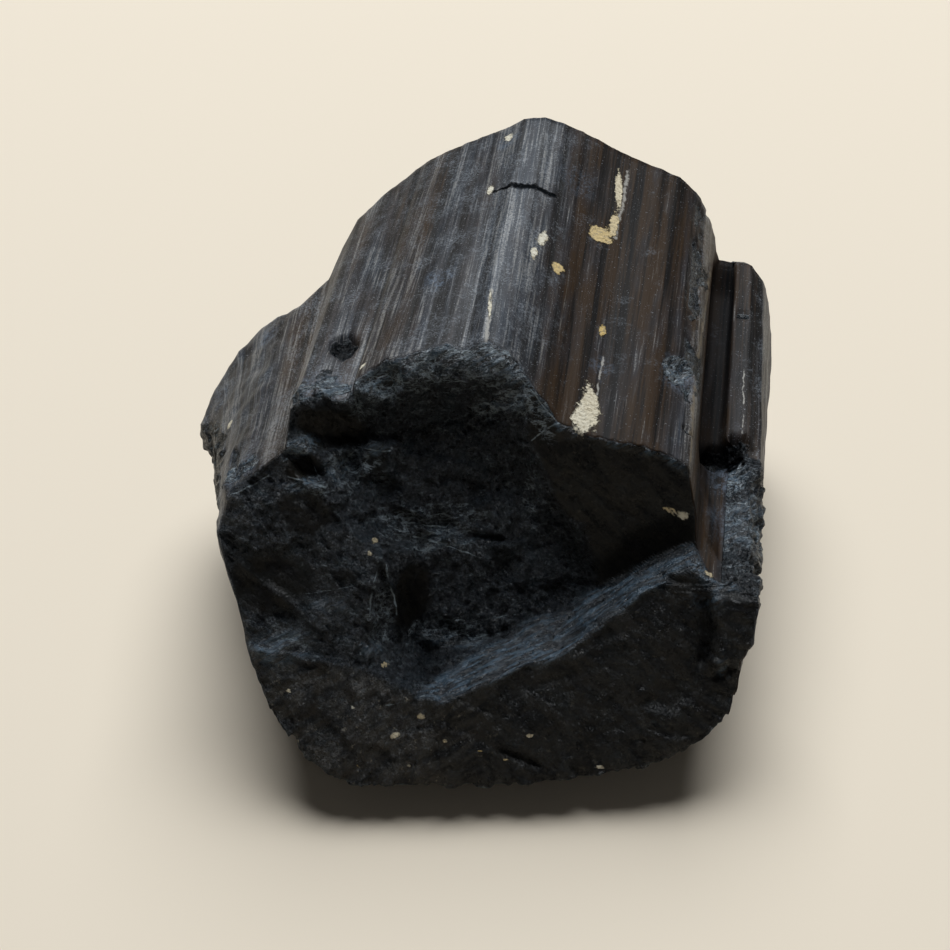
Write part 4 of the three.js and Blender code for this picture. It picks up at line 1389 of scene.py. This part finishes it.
def make_schorl():
    """The stone: glossy ribbed faces and near-black breaks, parted by the broken mask with a
    ragged edge, and the dull cream crusts over both."""
    made, tree, shader = new_material("schorl")
    at = {name: attribute(tree, name)["Fac"] for name in MASKS}
    place = attribute(tree, "stone")["Vector"]
    ragged = maths(tree, "SUBTRACT", cloud(tree, place, 1.4, 4.0, 0.65), 0.5)
    broken = spread(tree, plus_times(tree, at["broken"], ragged, 0.7), 0.42, 0.58)
    shaken = shaken_place(tree, place, 0.9, 0.2)
    slit = add_lines(tree, shaken, SLIT)
    # sunk: painted shade of the pits and groove, and the dark slit
    sunk = maths(tree, "MAXIMUM", times(tree, at["painted_shade"], 0.62), slit)

    along = attribute(tree, "ribs")["Vector"]
    inputs = {"Along": along, "Place": place, "Light": at["light"], "Blue": at["blue"]}
    faces = place_group(tree, FACES, inputs)
    crust = place_group(tree, CRUST, {"Inside": at["crust"], "Place": place})
    noises = {
        "hackly": times(tree, at["grain"], at["grain"]),
        "large": place_group(tree, FACETS, {"Place": place, "Size": 0.33}),
        "small": place_group(tree, FACETS, {"Place": place, "Size": 0.12}),
    }
    for name, run, share, scale in (
        ("fibres", SHELF_RUN, 0.12, 2.6),
        ("layers", SHELF_RUN, 0.2, 1.5),
        ("grooves", FACET_RUN, 0.25, 1.1),
    ):
        inputs = {"Place": place, "Along": run, "Share": share, "Scale": scale}
        noises[name] = place_group(tree, DRAWN, inputs)["Value"]

    face = face_colour(tree, at, place, faces["Colour"], shaken, sunk)
    stone = blend(tree, broken, face, break_colour(tree, at, place, noises))
    tint = blend(tree, at["crust_tone"], CRUST_WHITISH, CRUST_YELLOW)
    dirty = blend(tree, spread(tree, cloud(tree, place, 3.5), 0.45, 0.75), tint, CRUST_DIRT)
    tree.links.new(blend(tree, crust["Mask"], stone, dirty), shader.inputs["Base Color"])

    face_rough = plus_times(tree, 0.5, faces["Gloss"], -0.3)
    break_rough = plus_times(tree, 0.24, noises["large"]["Shade"], 0.2)
    rough = mixed(tree, crust["Mask"], mixed(tree, broken, face_rough, break_rough), 0.9)
    tree.links.new(rough, shader.inputs["Roughness"])
    shader.inputs["IOR"].default_value = 1.6

    face_gloss = times(tree, faces["Gloss"], maths(tree, "SUBTRACT", 1.0, sunk))
    break_gloss = plus_times(tree, plus_times(tree, 0.09, at["grain"], 0.19), at["shelf"], 0.15)
    break_gloss = times(tree, break_gloss, plus_times(tree, 1.0, at["painted_shade"], -0.7))
    tree.links.new(mixed(tree, broken, face_gloss, break_gloss), shader.inputs["Specular IOR Level"])

    face_height = plus_times(tree, faces["Height"], slit, -0.25)
    height = mixed(tree, broken, face_height, break_height(tree, at, place, noises))
    height = plus_times(tree, height, crust["Mask"], maths(tree, "ADD", 0.08, crust["Height"]))
    relief = put(tree, "ShaderNodeBump", {"Strength": 1.0, "Distance": METRES, "Height": height})
    tree.links.new(relief.outputs[0], shader.inputs["Normal"])
    return made


crystal.data.materials.append(make_schorl())

# ------------------------------------------------------------------ table, light and camera


def make_table():
    """A plain pale table top, far larger than the stone."""
    made, _, shader = new_material("pale table")
    shader.inputs["Base Color"].default_value = (*TABLE_CREAM, 1.0)
    shader.inputs["Roughness"].default_value = 0.7
    shader.inputs["Specular IOR Level"].default_value = 0.2
    bpy.ops.mesh.primitive_plane_add(size=6)
    floor = bpy.context.object
    floor.name = "table"
    floor.data.materials.append(made)
    return floor


make_table()


def add_area(name, place, wide, high, power, colour):
    """A soft oval light that faces a point just above the table's middle."""
    light = bpy.data.lights.new(name, "AREA")
    light.shape = "ELLIPSE"
    light.size, light.size_y = wide, high
    light.energy = power
    light.color = colour
    lamp = bpy.data.objects.new(name, light)
    lamp.location = place
    away = np.array(place) - LIT_POINT
    tilt = math.atan2(math.hypot(away[0], away[1]), away[2])
    lamp.rotation_euler = (tilt, 0.0, math.atan2(away[0], -away[1]))
    bpy.context.scene.collection.objects.link(lamp)


LIT_POINT = np.array([0.0, 0.0, 0.01])

add_area("window", (-0.03, 0.61, 0.89), 1.0, 1.1, 17.0, (0.92, 0.96, 1.0))
add_area("room", (0.1, -0.9, 0.7), 1.2, 0.6, 0.35, (0.95, 0.97, 1.0))

world = bpy.data.worlds.new("soft room")
world.use_nodes = True
world.node_tree.nodes["Background"].inputs[0].default_value = (1.0, 0.98, 0.95, 1.0)
world.node_tree.nodes["Background"].inputs[1].default_value = 0.03
bpy.context.scene.world = world
bpy.context.scene.view_settings.view_transform = "Standard"

VIEW_ELEVATION = LEAN  # the camera looks square on to the front break
VIEW_DISTANCE = 236.22
AIM = 27.95  # where the view's axis meets the front break, up its slope
LENS = 113.7

camera = bpy.data.objects.new("camera", bpy.data.cameras.new("camera"))
camera.data.lens = LENS
camera.data.sensor_width = 36.0
camera.data.clip_start = 0.01  # metres
back = AIM * math.sin(VIEW_ELEVATION) - VIEW_DISTANCE * math.cos(VIEW_ELEVATION)
high = AIM * math.cos(VIEW_ELEVATION) + VIEW_DISTANCE * math.sin(VIEW_ELEVATION)
spot = np.array([-back * math.sin(TURN), back * math.cos(TURN), high])
camera.location = (spot - MIDDLE) * METRES
camera.rotation_euler = (math.pi / 2 - VIEW_ELEVATION, 0.0, TURN)
bpy.context.scene.collection.objects.link(camera)
bpy.context.scene.camera = camera
